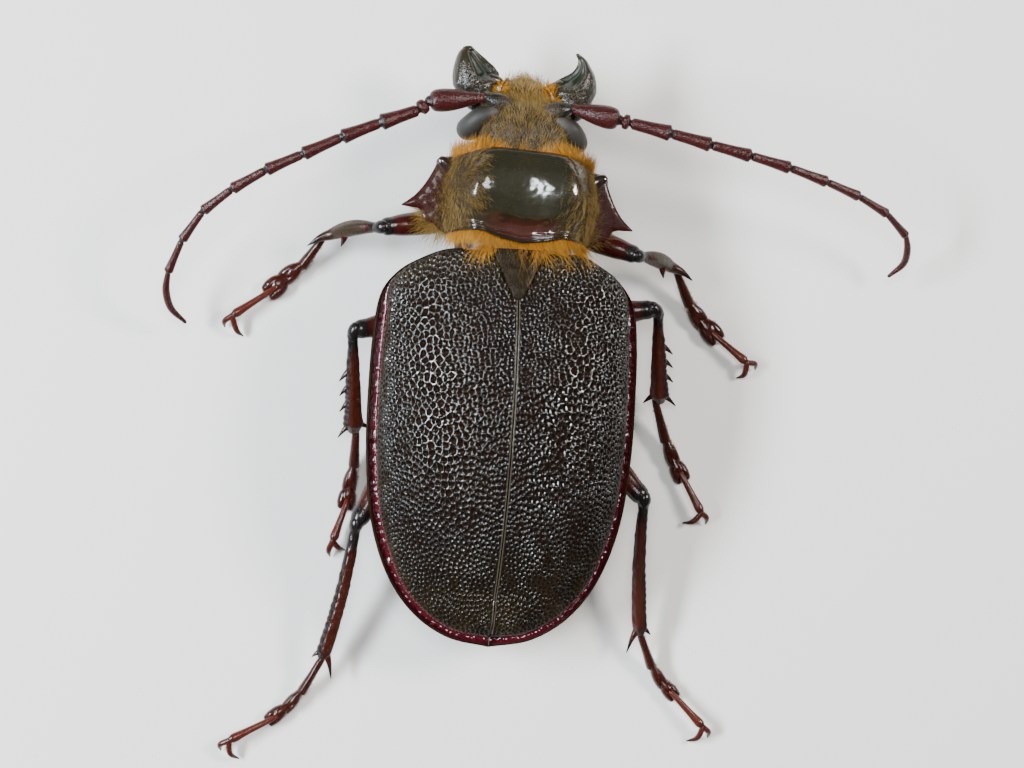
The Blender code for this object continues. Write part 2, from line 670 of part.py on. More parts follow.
def make_mouthparts():
    pieces = [head_tube("labium", LABIUM, sides=12)]
    for side in ("left", "right"):
        route = [(*place, PALP_HALF, PALP_HALF) for place in PALP_ROUTES["labial"]]
        pieces.append(head_tube("palp", [(0.5, 3.0, 3.95, 0.22, 0.22), *route], side, 8))
    node("labium", "mouth", pieces)
    for side in ("left", "right"):
        route = [(*place, PALP_HALF, PALP_HALF) for place in PALP_ROUTES["maxillary"]]
        node("maxillary_palp_" + side, "mouth", [head_tube("palp", route, side, 8)])
    for side in ("left", "right"):
        jaw = tube("jaw", MANDIBLES[side], 14, 2)
        tooth = tube("tooth", MANDIBLE_TEETH[side], 8, 1)
        node("mandible_" + side, "mandible", [jaw, tooth])


def antenna_piece(joints, index, side):
    """One antennal segment: narrow at its root, widest near its far end."""
    start, end = np.array(joints[index]), np.array(joints[index + 1])
    half = ANTENNA_HALF[index]
    if index == 0:
        shape = [(0.0, 0.42), (0.25, 0.55), (0.55, 0.85), (0.82, 1.0), (0.95, 0.8), (1.0, 0.5)]
    elif index == 1:
        shape = [(0.25, 0.55), (0.5, 0.95), (0.8, 0.95), (1.0, 0.55)]
    else:
        shape = [(0.0, 0.6), (0.45, 0.78), (0.88, 1.0), (1.0, 0.7)]
    return start, end, half, shape


def make_antennae():
    for side in ("left", "right"):
        joints = ANTENNA_JOINTS[side]
        for name, indices in ANTENNA_NODES.items():
            pieces = []
            for index in indices:
                if index == 10:
                    route = [joints[10], *ANTENNA_TIPS[side]]
                    halves = [half * ANTENNA_HALF[10] for half in (0.8, 1.0, 0.95, 0.6)]
                    stations = [(*place, half, half) for place, half in zip(route, halves)]
                    pieces.append(tube("segment", stations, 7, 2))
                    continue
                start, end, half, shape = antenna_piece(joints, index, side)
                along = (end - start) / np.linalg.norm(end - start)
                first = index == indices[0]
                start = start + along * (GAP * ROOM + 0.3 * half if first else -0.1)
                end = end - along * 0.3 * half
                pieces.append(limb("segment", start, end, shape, half, 0.8, sides=7))
            node(f"antenna_{name}_{side}", "antenna", pieces)


def coxa(which, side, grow=0.0):
    """The hip joint of one leg, or with grow the coarser room that the body leaves for it."""
    stations = mirrored(COXAE[which], side)
    return tube("coxa", stations, 8 if grow else 12, 1 if grow else 2, grow * ROOM)


def femur(which, side, grow=0.0):
    """The thigh of one leg, from the end of its hip joint to its knee."""
    hip = mirrored(COXAE[which], side)[-1][:3]
    knee = np.array(LEG_POSES[f"{which}_{side}"]["knee"])
    half = LEG_HALVES[which]["femur"]
    along = (knee - hip) / np.linalg.norm(knee - hip)
    start = hip + along * (GAP + LEG_HALVES[which]["hip"])
    end = knee - along * 0.05
    return limb("femur", start, end, FEMUR_SHAPE, half, 0.95, grow * ROOM, 8 if grow else 12)


def lobed_toe(root, tip, half):
    """A toe joint that widens into two lobes: its rings bend forward on both sides of a notch."""
    along = tip - root
    aside = np.cross(along, (0, 0, 1))
    aside = aside / np.linalg.norm(aside)
    rings = []
    for share, width, tall in LOBED_TOE_SHAPE:
        centre = root + along * share
        ring = []
        for i in range(12):
            angle = 2 * math.pi * (i + 0.5) / 12
            across, up = math.cos(angle), math.sin(angle)
            notch = LOBE_NOTCH * half * share * (abs(across) - 0.6) * along / np.linalg.norm(along)
            ring.append(centre + aside * across * half * width + notch + np.array((0, 0, up * tall)))
        rings.append(ring)
    return lofted("toe", rings)


def spine(root, tip):
    """A pointed spine of few faces."""
    root, tip = np.array(root), np.array(tip)
    stations = [(*root, SPINE_ROOT_HALF, SPINE_ROOT_HALF), (*tip, SPINE_TIP_HALF, SPINE_TIP_HALF)]
    return tube("spine", stations, 5, 1)


def make_tibia(which, side, pose, halves):
    """The shin with its spines, and the two points where its ends lie."""
    knee, ankle = np.array(pose["knee"]), np.array(pose["ankle"])
    along = (ankle - knee) / np.linalg.norm(ankle - knee)
    aside = np.cross(along, (0, 0, 1))
    aside = aside / np.linalg.norm(aside)
    outward = aside if np.dot(aside, (1 if side == "right" else -1, 0, 0)) > 0 else -aside
    shift = outward * pose.get("shin_aside", 0)
    start = knee + along * (GAP + halves["knee"]) + shift
    pieces = [limb("shin", start, ankle + shift, TIBIA_SHAPE, halves["tibia"], 0.85)]
    level = np.cross((0, 0, 1), aside)
    for share, ahead, out, up in TIBIA_SPINES[which]:
        root = knee + (ankle - knee) * share + shift + (0, 0, 0.15)
        pieces.append(spine(root, root + level * ahead + outward * out + (0, 0, up)))
    node(f"tibia_{which}_{side}", "leg", pieces)
    return ankle + along * halves["tibia"] * 0.3, along


def make_foot(which, side, pose, halves, ankle_end, along):
    """Four toe joints with flat pads on the floor, the long last one, and the two claws."""
    first, second, third = (np.array(place) for place in pose["toes"])
    claw_base = np.array(pose["claw_base"])
    start = ankle_end + (first - ankle_end) / np.linalg.norm(first - ankle_end) * (GAP + 0.22)
    toe = halves["toe"]
    stations = [(*start, 0.25, 0.25), (*(start * 0.6 + first * 0.4), toe * 0.75, 0.34), (*first, toe, 0.42)]
    stations.append((*(first + (first - start) * 0.06), toe * 0.5, 0.25))
    pieces = [tube("toe", stations, 7, 1)]
    roots = [first * 0.85 + start * 0.15, second * 0.7 + first * 0.3]
    for root, tip, half in zip(roots, (second, third), halves["lobes"]):
        pieces.append(lobed_toe(root, tip, half))
    root = third * 0.6 + second * 0.4 + (0, 0, 0.15)
    top = third + (0, 0, 0.4)
    way = claw_base - top
    reach = claw_base - way / np.linalg.norm(way) * 0.1
    last = [(*root, 0.2, 0.2), (*top, 0.22, 0.22), (*(top + way * 0.6), LAST_TOE_HALF, 0.28)]
    last += [(*(top + way * 0.9), LAST_TOE_HALF * 1.2, 0.3), (*reach, LAST_TOE_HALF * 0.8, 0.2)]
    pieces.append(tube("last_toe", last, 6, 1))
    floor = box("floor", (-60, -60, -5), (60, 60, 0))
    node(f"tarsus_{which}_{side}", "foot", pieces, [floor])

    root = claw_base + way / np.linalg.norm(way) * (GAP * ROOM + 0.1)
    claws = []
    for bend in pose["claws"]:
        middle, tip = bend
        stations = [(*root, CLAW_HALF, CLAW_HALF), (*middle, 0.22, 0.24), (*tip, 0.08, 0.08)]
        claws.append(tube("claw", stations, 6, 2))
    node(f"claws_{which}_{side}", "foot", claws)


def make_legs():
    for which in ("fore", "mid", "hind"):
        for side in ("left", "right"):
            pose, halves = LEG_POSES[f"{which}_{side}"], LEG_HALVES[which]
            node(f"coxa_{which}_{side}", "leg", [coxa(which, side)])
            node(f"femur_{which}_{side}", "leg", [femur(which, side)])
            ankle_end, along = make_tibia(which, side, pose, halves)
            make_foot(which, side, pose, halves, ankle_end, along)


def stand_at_origin():
    """Moves the whole beetle so that the middle of its box, at floor level, is the origin."""
    stand = bpy.data.objects.new("beetle", None)
    bpy.context.scene.collection.objects.link(stand)
    corners = []
    for made in bpy.context.scene.collection.objects:
        if made.type == "MESH":
            corners += [made.matrix_world @ Vector(corner) for corner in made.bound_box]
            made.parent = stand
    middle = [(min(c[i] for c in corners) + max(c[i] for c in corners)) / 2 for i in range(2)]
    stand.location = (-middle[0], -middle[1], 0)


for old in list(bpy.data.objects):
    bpy.data.objects.remove(old)
make_wing_cases()
make_scutellum()
make_trunk()
make_pronotum()
make_head()
make_mouthparts()
make_antennae()
make_legs()
stand_at_origin()
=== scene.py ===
# Looks of the standing longhorn beetle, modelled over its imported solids.
# Sizes are in millimetres, measured from the middle of the wing cases' front edge, where
# +X is the beetle's right side, +Y is ahead of it and z = 0 is the floor.

import math

import bpy
import numpy as np
from mathutils import Matrix, Vector, kdtree


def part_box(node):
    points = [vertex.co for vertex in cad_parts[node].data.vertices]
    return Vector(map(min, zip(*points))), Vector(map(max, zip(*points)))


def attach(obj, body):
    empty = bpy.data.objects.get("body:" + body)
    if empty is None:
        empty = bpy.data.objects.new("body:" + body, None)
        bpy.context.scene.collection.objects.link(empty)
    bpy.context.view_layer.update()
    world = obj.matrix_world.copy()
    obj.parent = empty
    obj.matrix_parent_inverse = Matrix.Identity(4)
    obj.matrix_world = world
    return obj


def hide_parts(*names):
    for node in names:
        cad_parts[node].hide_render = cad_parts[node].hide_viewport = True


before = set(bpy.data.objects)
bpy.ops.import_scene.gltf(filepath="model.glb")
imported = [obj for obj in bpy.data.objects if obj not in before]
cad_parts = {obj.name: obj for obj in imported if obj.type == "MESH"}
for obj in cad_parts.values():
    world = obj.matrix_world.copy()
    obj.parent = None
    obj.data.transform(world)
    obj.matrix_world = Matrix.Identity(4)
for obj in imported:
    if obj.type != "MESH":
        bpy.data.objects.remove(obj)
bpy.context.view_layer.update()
sides = {"left": -1, "right": 1}
mm = 0.001
scutellumLow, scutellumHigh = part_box("scutellum")
scutellumFront = 0.45  # how far ahead of the wing cases the little shield starts
home = np.array([(scutellumLow.x + scutellumHigh.x) / 2, scutellumHigh.y - scutellumFront * mm, 0])


# Curves and noise

def smoothRows(stations, steps):
    given = np.array(stations, float)
    rows = np.vstack([2 * given[0] - given[1], given, 2 * given[-1] - given[-2]])
    t = np.linspace(0, 1, steps, endpoint=False)[:, None]
    found = []
    for a, b, c, d in zip(rows, rows[1:], rows[2:], rows[3:]):
        bend = (2 * a - 5 * b + 4 * c - d) * t * t
        found.append(0.5 * (2 * b + (c - a) * t + bend + (3 * b - a - 3 * c + d) * t**3))
    return np.vstack([*found, given[-1:]])


def evenRows(rows, count, along=None):  # spreads rows evenly along their run, or another
    along = rows[:, :3] if along is None else along
    steps = np.linalg.norm(np.diff(along, axis=0), axis=1)
    run = np.concatenate([[0], np.cumsum(steps)])
    places = np.linspace(0, run[-1], count)
    return np.stack([np.interp(places, run, column) for column in rows.T], axis=1)


def softCurve(table, values):  # a smooth line through (x, y) pairs, read at any x
    rows = smoothRows(table, 12)
    return np.interp(values, rows[:, 0], rows[:, 1])


def ease(values, low, high):  # 0 below low, 1 above high, smooth between
    t = np.clip((np.asarray(values, float) - low) / (high - low), 0, 1)
    return t * t * (3 - 2 * t)


def bell(values, centre, width):
    return np.exp(-(((np.asarray(values, float) - centre) / width) ** 2))


def softNoise(points, size, seed):  # from -1 to 1, with a lump about every size mm
    spots = np.asarray(points, float) / size + seed * 17.31
    cells = np.floor(spots).astype(np.int64)
    part = spots - cells
    part = part * part * (3 - 2 * part)
    total = np.zeros(spots.shape[:-1])
    for corner in range(8):
        step = np.array([corner & 1, corner >> 1 & 1, corner >> 2 & 1])
        x, y, z = np.moveaxis(cells + step, -1, 0)
        # Large odd numbers scramble each corner's place into a steady value.
        mixed = (x * 73856093) ^ (y * 19349663) ^ (z * 83492791) ^ (seed * 668265263)
        mixed = (mixed ^ (mixed >> 13)) * 1274126177
        value = ((mixed ^ (mixed >> 16)) & 0xFFFF) / 32767.5 - 1
        total += value * np.prod(np.where(step, part, 1 - part), axis=-1)
    return total


# Lofts: closed shapes as (points, faces, marks), where a mark is one number for each point

domeTurns = (35, 62, 84)  # degrees at which a rounded end has its rings


def loft(rings, marks=None):  # joins the rings in turn and closes both ends with a fan
    rings = np.asarray(rings, float)
    count, around = rings.shape[:2]
    index = np.arange(count * around).reshape(count, around)
    beside = np.roll(index, -1, axis=1)
    quads = np.stack([index[:-1], beside[:-1], beside[1:], index[1:]], axis=-1).reshape(-1, 4)
    points = np.vstack([rings.reshape(-1, 3), rings[0].mean(axis=0), rings[-1].mean(axis=0)])
    first, last = count * around, count * around + 1
    fans = [(first, b, a) for a, b in zip(index[0].tolist(), beside[0].tolist())]
    fans += [(last, a, b) for a, b in zip(index[-1].tolist(), beside[-1].tolist())]
    faces = quads.tolist() + fans
    a, b, c = np.moveaxis(points[np.vstack([quads[:, :3], quads[:, [0, 2, 3]], fans])], 1, 0)
    if (np.cross(a, b) * c).sum() < 0:  # inside out, so every face is turned
        faces = [face[::-1] for face in faces]
    values = {}
    for mark, rows in (marks or {}).items():
        rows = np.broadcast_to(rows, (count, around))
        values[mark] = np.concatenate([rows.ravel(), [rows[0].mean(), rows[-1].mean()]])
    return points, faces, values


def linked(name, data):  # a new object in the scene
    made = bpy.data.objects.new(name, data)
    bpy.context.scene.collection.objects.link(made)
    return made


def setMark(mesh, name, values, kind="FLOAT"):
    layer = mesh.attributes.new(name, kind, "POINT")
    field = "value" if kind == "FLOAT" else "vector"
    layer.data.foreach_set(field, np.asarray(values, np.float32).ravel())


def pieceOf(name, lofts, material, nodes, sharpest=None):
    points, faces, offset = [], [], 0
    marks = {mark: [] for shape in lofts for mark in shape[2]}
    for places, corners, values in lofts:
        faces += [[i + offset for i in corner] for corner in corners] if offset else corners
        points.append(places)
        for mark in marks:
            marks[mark].append(values.get(mark, np.zeros(len(places))))
        offset += len(places)
    mesh = bpy.data.meshes.new(name)
    mesh.from_pydata((np.vstack(points) * mm + home).tolist(), [], faces)
    for mark, values in marks.items():
        setMark(mesh, mark, np.concatenate(values))
    mesh.shade_smooth()
    if sharpest:
        mesh.set_sharp_from_angle(angle=math.radians(sharpest))
    mesh.materials.append(material)
    piece = linked(name, mesh)
    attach(piece, "root")
    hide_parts(*nodes)
    print("made", name, len(mesh.polygons), "faces")


def unit(vectors):
    vectors = np.asarray(vectors, float)
    return vectors / np.maximum(np.linalg.norm(vectors, axis=-1, keepdims=True), 1e-9)


def tubeRings(stations, around, spacing, up=(0, 0, 1), shape=None, domes=(1.0, 1.0), steady=0.0):
    # Rings along smooth stations of x, y, z, half width and half height, with rounded ends.
    # A steady tube keeps its rings nearer to parallel.
    path = smoothRows(stations, 8)
    length = np.linalg.norm(np.diff(path[:, :3], axis=0), axis=1).sum()
    path = evenRows(path, max(5, int(length / spacing)))
    ahead = unit(np.gradient(path[:, :3], axis=0))
    ahead = unit(ahead + steady * ahead.mean(axis=0))
    share = np.linspace(0, 1, len(path))
    for end, dome in ((0, domes[0]), (-1, domes[1])):
        tip, way, out = path[end].copy(), ahead[end], -1 if end == 0 else 1
        for turn in np.radians(domeTurns):
            row = tip.copy()
            row[:3] += way * out * math.sin(turn) * dome * tip[3:5].mean()
            row[3:5] *= math.cos(turn)
            path = np.vstack([row, path] if end == 0 else [path, row])
            ahead = np.vstack([way, ahead] if end == 0 else [ahead, way])
            share = np.concatenate([[0], share] if end == 0 else [share, [1]])
    across = unit(np.cross(ahead, np.asarray(up, float)))
    over = np.cross(across, ahead)
    angle = 2 * math.pi * np.arange(around) / around
    shares, angles = np.meshgrid(share, angle, indexing="ij")
    size = shape(shares, angles) if shape else np.ones_like(shares)
    wide = (path[:, 3:4] * np.cos(angles) * size)[..., None]
    high = (path[:, 4:5] * np.sin(angles) * size)[..., None]
    rings = path[:, None, :3] + across[:, None] * wide + over[:, None] * high
    return rings, shares, angles


def roughened(rings, lumps, share=1):  # moves rings in and out by noises of (height, size, seed)
    out = unit(rings - rings.mean(axis=1, keepdims=True))
    lift = sum(height * softNoise(rings, size, seed) for height, size, seed in lumps) * share
    return rings + out * lift[..., None]


def turned(points, at, yaw):
    points = np.array(points, float)
    cos, sin = math.cos(math.radians(yaw)), math.sin(math.radians(yaw))
    moved = points.copy()
    moved[..., 0] = at[0] + points[..., 0] * cos - points[..., 1] * sin
    moved[..., 1] = at[1] + points[..., 0] * sin + points[..., 1] * cos
    return moved


def mirrored(points, side):
    return np.array(points, float) * ([sides[side]] + [1] * (np.shape(points)[-1] - 1))


def gridNormals(rings):
    return unit(np.cross(np.gradient(rings, axis=0), np.gradient(rings, axis=1)))


# Materials

def addNode(tree, kind, links=None, **settings):
    node = tree.nodes.new(kind)
    for setting, value in settings.items():
        if hasattr(node, setting):
            setattr(node, setting, value)
        else:
            node.inputs[setting.replace("_", " ")].default_value = value
    for name, source in (links or {}).items():
        tree.links.new(source, node.inputs[name])
    return node


def scaled(tree, source, factor, clamp=False):
    node = addNode(tree, "ShaderNodeMath", {0: source}, operation="MULTIPLY", use_clamp=clamp)
    node.inputs[1].default_value = factor
    return node.outputs[0]


def shaderGroup(name, inputs, outputs):
    tree = bpy.data.node_groups.new(name, "ShaderNodeTree")
    for label, value in inputs.items():
        kind = "NodeSocketColor" if isinstance(value, tuple) else "NodeSocketFloat"
        tree.interface.new_socket(label, in_out="INPUT", socket_type=kind).default_value = value
    for label in outputs:
        tree.interface.new_socket(label, in_out="OUTPUT", socket_type="NodeSocketFloat")
    return tree, addNode(tree, "NodeGroupInput").outputs, addNode(tree, "NodeGroupOutput").inputs


def makePunctureGroup():  # little round pits, as beetle cuticle has
    inputs = {"Per mm": 6.0, "Size": 0.3, "Unevenness": 0.5}
    tree, given, result = shaderGroup("punctures", inputs, ["Height", "Pit"])
    place = addNode(tree, "ShaderNodeTexCoord").outputs["Object"]
    pattern = {"Vector": place, "Scale": scaled(tree, given["Per mm"], 1 / mm)}
    cells = addNode(tree, "ShaderNodeTexVoronoi", pattern, Randomness=0.9)
    bounds = {"Value": cells.outputs["Distance"], "From Max": given["Size"]}
    rim = addNode(tree, "ShaderNodeMapRange", bounds, interpolation_type="SMOOTHSTEP").outputs[0]
    grain = addNode(tree, "ShaderNodeTexNoise", pattern, Detail=3.0).outputs[0]
    lifted = {0: grain, 1: given["Unevenness"], 2: rim}
    lift = addNode(tree, "ShaderNodeMath", lifted, operation="MULTIPLY_ADD")
    # Pit is 1 in the middle of each pit; it paints shade on the pits' floors.
    pitShade = addNode(tree, "ShaderNodeMath", {1: rim}, operation="SUBTRACT")
    pitShade.inputs[0].default_value = 1
    tree.links.new(lift.outputs[0], result["Height"])
    tree.links.new(pitShade.outputs[0], result["Pit"])
    return tree


def makeMottleGroup():  # slow, cloudy changes over the surface
    tree, given, result = shaderGroup("mottle", {"Per mm": 0.5, "Contrast": 1.0}, ["Cloud"])
    place = addNode(tree, "ShaderNodeTexCoord").outputs["Object"]
    pattern = {"Vector": place, "Scale": scaled(tree, given["Per mm"], 1 / mm)}
    cloud = addNode(tree, "ShaderNodeTexNoise", pattern, Detail=4.0)
    centred = addNode(tree, "ShaderNodeMath", {0: cloud.outputs[0]}, operation="SUBTRACT")
    centred.inputs[1].default_value = 0.5
    strong = {0: centred.outputs[0], 1: given["Contrast"]}
    strong = addNode(tree, "ShaderNodeMath", strong, use_clamp=True)
    strong.operation, strong.inputs[2].default_value = "MULTIPLY_ADD", 0.5
    tree.links.new(strong.outputs[0], result["Cloud"])
    return tree


punctureGroup, mottleGroup = makePunctureGroup(), makeMottleGroup()


def limbFinish(base, roughness, pitDepth):  # dark and bright parts keep the hue of the base
    return {
        "base": base, "roughness": roughness, "specular": 0.32, "cloud": (0.9, 2.2),
        "layers": [
            ("cloud", 0.6, tuple(value * 0.5 for value in base)),
            ("bright", 1, tuple(value * 2.2 for value in base)),
            ("haze", 1, (0.015, 0.0125, 0.004)), ("dark", 1, (0.008, 0.006, 0.006)),
        ],
        "pits": [(8.0, 0.32, 0.4, pitDepth, "")],
        "roughen": ("haze", roughness, 0.32),
    }


# Cloud: spots per mm and contrast. Layers: what shows them, how strongly, and their colour; words in
# one string are multiplied, each a mark of the mesh, the cloud or the pits. Pits: how many per mm,
# size, unevenness, depth in mm, and the mark they keep to. Gloss: a mark, and its coat's roughness.
finishes = {
    "wingCaseCuticle": {
        "base": (0.009, 0.0042, 0.0025), "roughness": 0.4, "specular": 0.0, "cloud": (0.45, 2.2),
        "layers": [
            ("crest", 1, (0.004, 0.0034, 0.0028)), ("haze cloud", 1, (0.022, 0.015, 0.007)),
            # The pale seam colour is painted sheen along the seam bead.
            ("seam", 1, (0.06, 0.05, 0.036)), ("rim", 1, (0.06, 0.005, 0.01)),
        ],
        "pits": [(9.0, 0.35, 0.5, 0.008, "")],
        "glaze": ("gloss", 0.02, 0.08),
    },
    "foreShieldCuticle": {
        "base": (0.011, 0.0105, 0.005), "roughness": 0.3, "specular": 0.15, "cloud": (0.5, 2.6),
        "layers": [
            ("cloud", 0.4, (0.024, 0.021, 0.009)), ("plate", 1, (0.035, 0.01, 0.007)),
            ("side", 0.85, (0.028, 0.017, 0.006)), ("red", 1, (0.026, 0.003, 0.002)),
            ("bead", 1, (0.009, 0.007, 0.007)),
        ],
        "pits": [(5.0, 0.3, 0.25, 0.09, "pitted"), (11.0, 0.3, 0.5, 0.006, "")],
        "roughen": ("dull", 0.3, 0.8),
        "glaze": ("gloss", 0.0, 0.11),
    },
    "headCuticle": {
        "base": (0.02, 0.013, 0.006), "roughness": 0.5, "specular": 0.3, "cloud": (0.8, 2.0),
        "layers": [("cloud", 0.6, (0.032, 0.021, 0.009)), ("knob", 1, (0.009, 0.008, 0.006))],
        "pits": [(5.0, 0.45, 0.5, 0.06, "")],
        "roughen": ("knob", 0.5, 0.28),
    },
    "scutellumCuticle": {
        "base": (0.008, 0.0045, 0.0016), "roughness": 0.4, "specular": 0.12, "cloud": (1.2, 2.0),
        "layers": [("cloud", 0.5, (0.02, 0.012, 0.004))],
        "pits": [(6.0, 0.4, 0.5, 0.05, "")],
    },
    "eyeFacets": {
        "base": (0.02, 0.0185, 0.015), "roughness": 0.55, "specular": 0.35,
        # The facets' pits are darkened with painted shade.
        "layers": [("edge", 1, (0.045, 0.04, 0.034)), ("pitShade", 0.3, (0.01, 0.011, 0.013))],
        "pits": [(16.0, 0.5, 0.1, 0.01, "")],
    },
    "jawHorn": {
        "base": (0.015, 0.0125, 0.007), "roughness": 0.28, "specular": 0.4, "cloud": (0.7, 2.5),
        "layers": [("hollow", 1, (0.002, 0.01, 0.003)), ("cloud", 0.6, (0.03, 0.021, 0.012))],
        "pits": [(6.0, 0.4, 0.6, 0.08, "rugose")],
        "roughen": ("hollow", 0.24, 0.3),
    },
    "mouthHorn": {
        "base": (0.035, 0.015, 0.007), "roughness": 0.35, "pits": [(8.0, 0.3, 0.5, 0.02, "")],
    },
    "feelerHorn": limbFinish((0.042, 0.0065, 0.006), 0.22, 0.13),
    "legHorn": limbFinish((0.042, 0.0055, 0.0035), 0.2, 0.03),
    "toeHorn": limbFinish((0.033, 0.0055, 0.003), 0.18, 0.035),
    "bellyHorn": limbFinish((0.035, 0.014, 0.007), 0.35, 0.02),
    "hairStrands": {
        "base": (0.12, 0.075, 0.022), "roughness": 0.45, "specular": 0.25,
        "layers": [
            ("orange", 1, (0.66, 0.21, 0.003)), ("pale", 1, (0.62, 0.45, 0.17)),
            ("tip", 0.4, (0.62, 0.39, 0.07)), ("tip orange", 0.65, (0.72, 0.4, 0.045)),
            ("shade", 0.72, (0.1, 0.055, 0.014)),
        ],
    },
    "paleFloor": {"base": (0.82, 0.8, 0.76), "roughness": 0.6},
}
glazeIor = 1.9  # high, so that the thin gloss mirrors the lamps strongly


def multiplied(tree, first, second):
    return addNode(tree, "ShaderNodeMath", {0: first, 1: second}, operation="MULTIPLY").outputs[0]


def placedGroup(tree, group, labels, values):
    node = addNode(tree, "ShaderNodeGroup", node_tree=group)
    for label, value in zip(labels, values):
        node.inputs[label].default_value = value
    return node.outputs


def makeFinish(name):
    look = finishes[name]
    material = bpy.data.materials.new(name)
    material.use_nodes = True
    tree = material.node_tree
    shader = tree.nodes["Principled BSDF"].inputs
    shader["Specular IOR Level"].default_value = look.get("specular", 0.5)
    shader["Roughness"].default_value = look["roughness"]
    colour = addNode(tree, "ShaderNodeRGB").outputs[0]
    colour.default_value = (*look["base"], 1)
    found, normal = {}, None
    if "cloud" in look:
        found["cloud"] = placedGroup(tree, mottleGroup, ("Per mm", "Contrast"), look["cloud"])["Cloud"]

    def read(word):
        if word in found:
            return found[word]
        return addNode(tree, "ShaderNodeAttribute", attribute_name=word).outputs["Fac"]

    for *pattern, depth, where in look.get("pits", ()):
        pits = placedGroup(tree, punctureGroup, ("Per mm", "Size", "Unevenness"), pattern)
        found["pitShade"] = pits["Pit"]
        height = multiplied(tree, pits["Height"], read(where)) if where else pits["Height"]
        above = {"Height": height, "Normal": normal} if normal else {"Height": height}
        normal = addNode(tree, "ShaderNodeBump", above, Distance=depth * mm).outputs[0]
        tree.links.new(normal, shader["Normal"])
    for words, strength, hue in look.get("layers", ()):
        first, *others = (read(word) for word in words.split())
        factor = multiplied(tree, first, others[0]) if others else first
        mix = addNode(tree, "ShaderNodeMix", data_type="RGBA")
        tree.links.new(factor if strength == 1 else scaled(tree, factor, strength, True), mix.inputs[0])
        tree.links.new(colour, mix.inputs[6])
        mix.inputs[7].default_value = (*hue, 1)
        colour = mix.outputs[2]
    tree.links.new(colour, shader["Base Color"])
    ramps = {"Roughness": look.get("roughen")}
    if "glaze" in look:  # a clear gloss that lies thicker where its mark is 1
        mark, least, roughness = look["glaze"]
        ramps["Coat Weight"] = (mark, least, 1.0)
        shader["Coat Roughness"].default_value = roughness
        shader["Coat IOR"].default_value = glazeIor
    for socket, ramp in ramps.items():
        if ramp:
            mark, low, high = ramp
            node = addNode(tree, "ShaderNodeMapRange", {"Value": read(mark)}, To_Min=low, To_Max=high)
            tree.links.new(node.outputs[0], shader[socket])
    return material


# Wing cases

wing = {
    "edge": [
        (0.0, 0.15, 10.4), (2.9, 0.3, 9.6), (4.7, 0.3, 8.8), (6.4, -0.35, 7.4), (7.9, -1.35, 6.5),
        (9.0, -3.0, 6.1), (9.4, -6.0, 6.0), (9.5, -10.3, 5.8), (9.4, -14.0, 5.7),
        (8.9, -18.4, 5.55),
        (7.6, -22.3, 5.35), (5.6, -25.1, 5.2), (3.0, -26.8, 5.05), (0.0, -27.4, 5.0),
    ],
    "seam": [
        (0.0, 10.9), (3.2, 11.5), (5.1, 12.0), (8.7, 12.3), (13.7, 11.8), (16.8, 11.0),
        (19.6, 10.0), (22.2, 8.6), (23.9, 7.5),
    ],
    "seamFront": -3.2,
    "seamBack": -23.4,
    "seamCreep": 0.15,
    "seamGap": 0.03,
    "startX": 1.95,
    "rows": 690,
    "domeColumns": 224,
    "halves": {"Front": (0.0, 0.5), "Rear": (0.5, 1.0)},
    "fullness": 0.85,
    "rim": 0.7,
    "frontRim": 0.12,
    "rimProfile": [
        (0.7, 0.0), (0.6, -0.03), (0.45, -0.02), (0.32, 0.05), (0.22, 0.19), (0.14, 0.26),
        (0.07, 0.24), (0.02, 0.14), (0.0, 0.0), (0.04, -0.18), (0.14, -0.3), (0.4, -0.34),
    ],
    "wall": 0.6,
    "underColumns": 9,
    "seamBead": 0.09,
    "seamBeadHeight": 0.03,
    # The net is coarse along a line at x = line[0] + line[1] * y, and fine away from it.
    "line": (6.8, 0.2),
    "cell": {"fine": 0.215, "coarse": 0.35, "spare": 0.02, "wide": 3.2, "row": -8.5, "long": 13.0},
    "stretch": 0.77,
    "ridgeWidth": (0.05, 0.07),
    "ridgeShare": 0.2,
    "bowlShare": 0.24,
    "swell": (0.05, 2.6, 3),
    "haze": [(3.2, 0.8, 0.8), (-3.4, -0.6, 0.7), (-18, -25, 0.6)],  # round the rim, ahead and behind
    "shine": {
        "all": 0.34, "line": 0.62, "wide": 2.5, "row": -9, "long": 11, "rearLoss": 0.1, "hazeLoss": 0.3,
        "rim": 0.6, "seam": 0.15,
    },
    "seed": 7,
}
scutellum = {
    "halves": [(-3.1, 0.02), (-2.85, 0.4), (-1.7, 1.05), (-0.4, 1.55), (0.45, 1.75)],
    "top": [(0.0, 10.5), (1.0, 11.3)],
    "room": 0.06,
    "thick": 0.8,
    "crown": 0.22,
    "grain": (0.03, 0.35, 9),
}


def seamPoint(y):  # where the stretch of outer edge at y rises to
    inside = np.clip(y, wing["seamBack"], wing["seamFront"])
    y = inside + (y - inside) * wing["seamCreep"]
    behind, tall = zip(*wing["seam"])
    return np.stack([np.zeros_like(y), y, np.interp(-y, behind, tall)], axis=-1)


def evenTurns(start, reach, tall):  # angles that share out the arch of a row evenly
    turns = np.linspace(start, math.pi / 2, 240)
    rise = tall * np.cos(turns).clip(0) ** wing["fullness"]
    steps = np.hypot(np.diff(reach * np.sin(turns)), np.diff(rise))
    run = np.concatenate([[0], np.cumsum(steps)])
    return np.interp(np.linspace(0, run[-1], wing["domeColumns"]), run, turns)


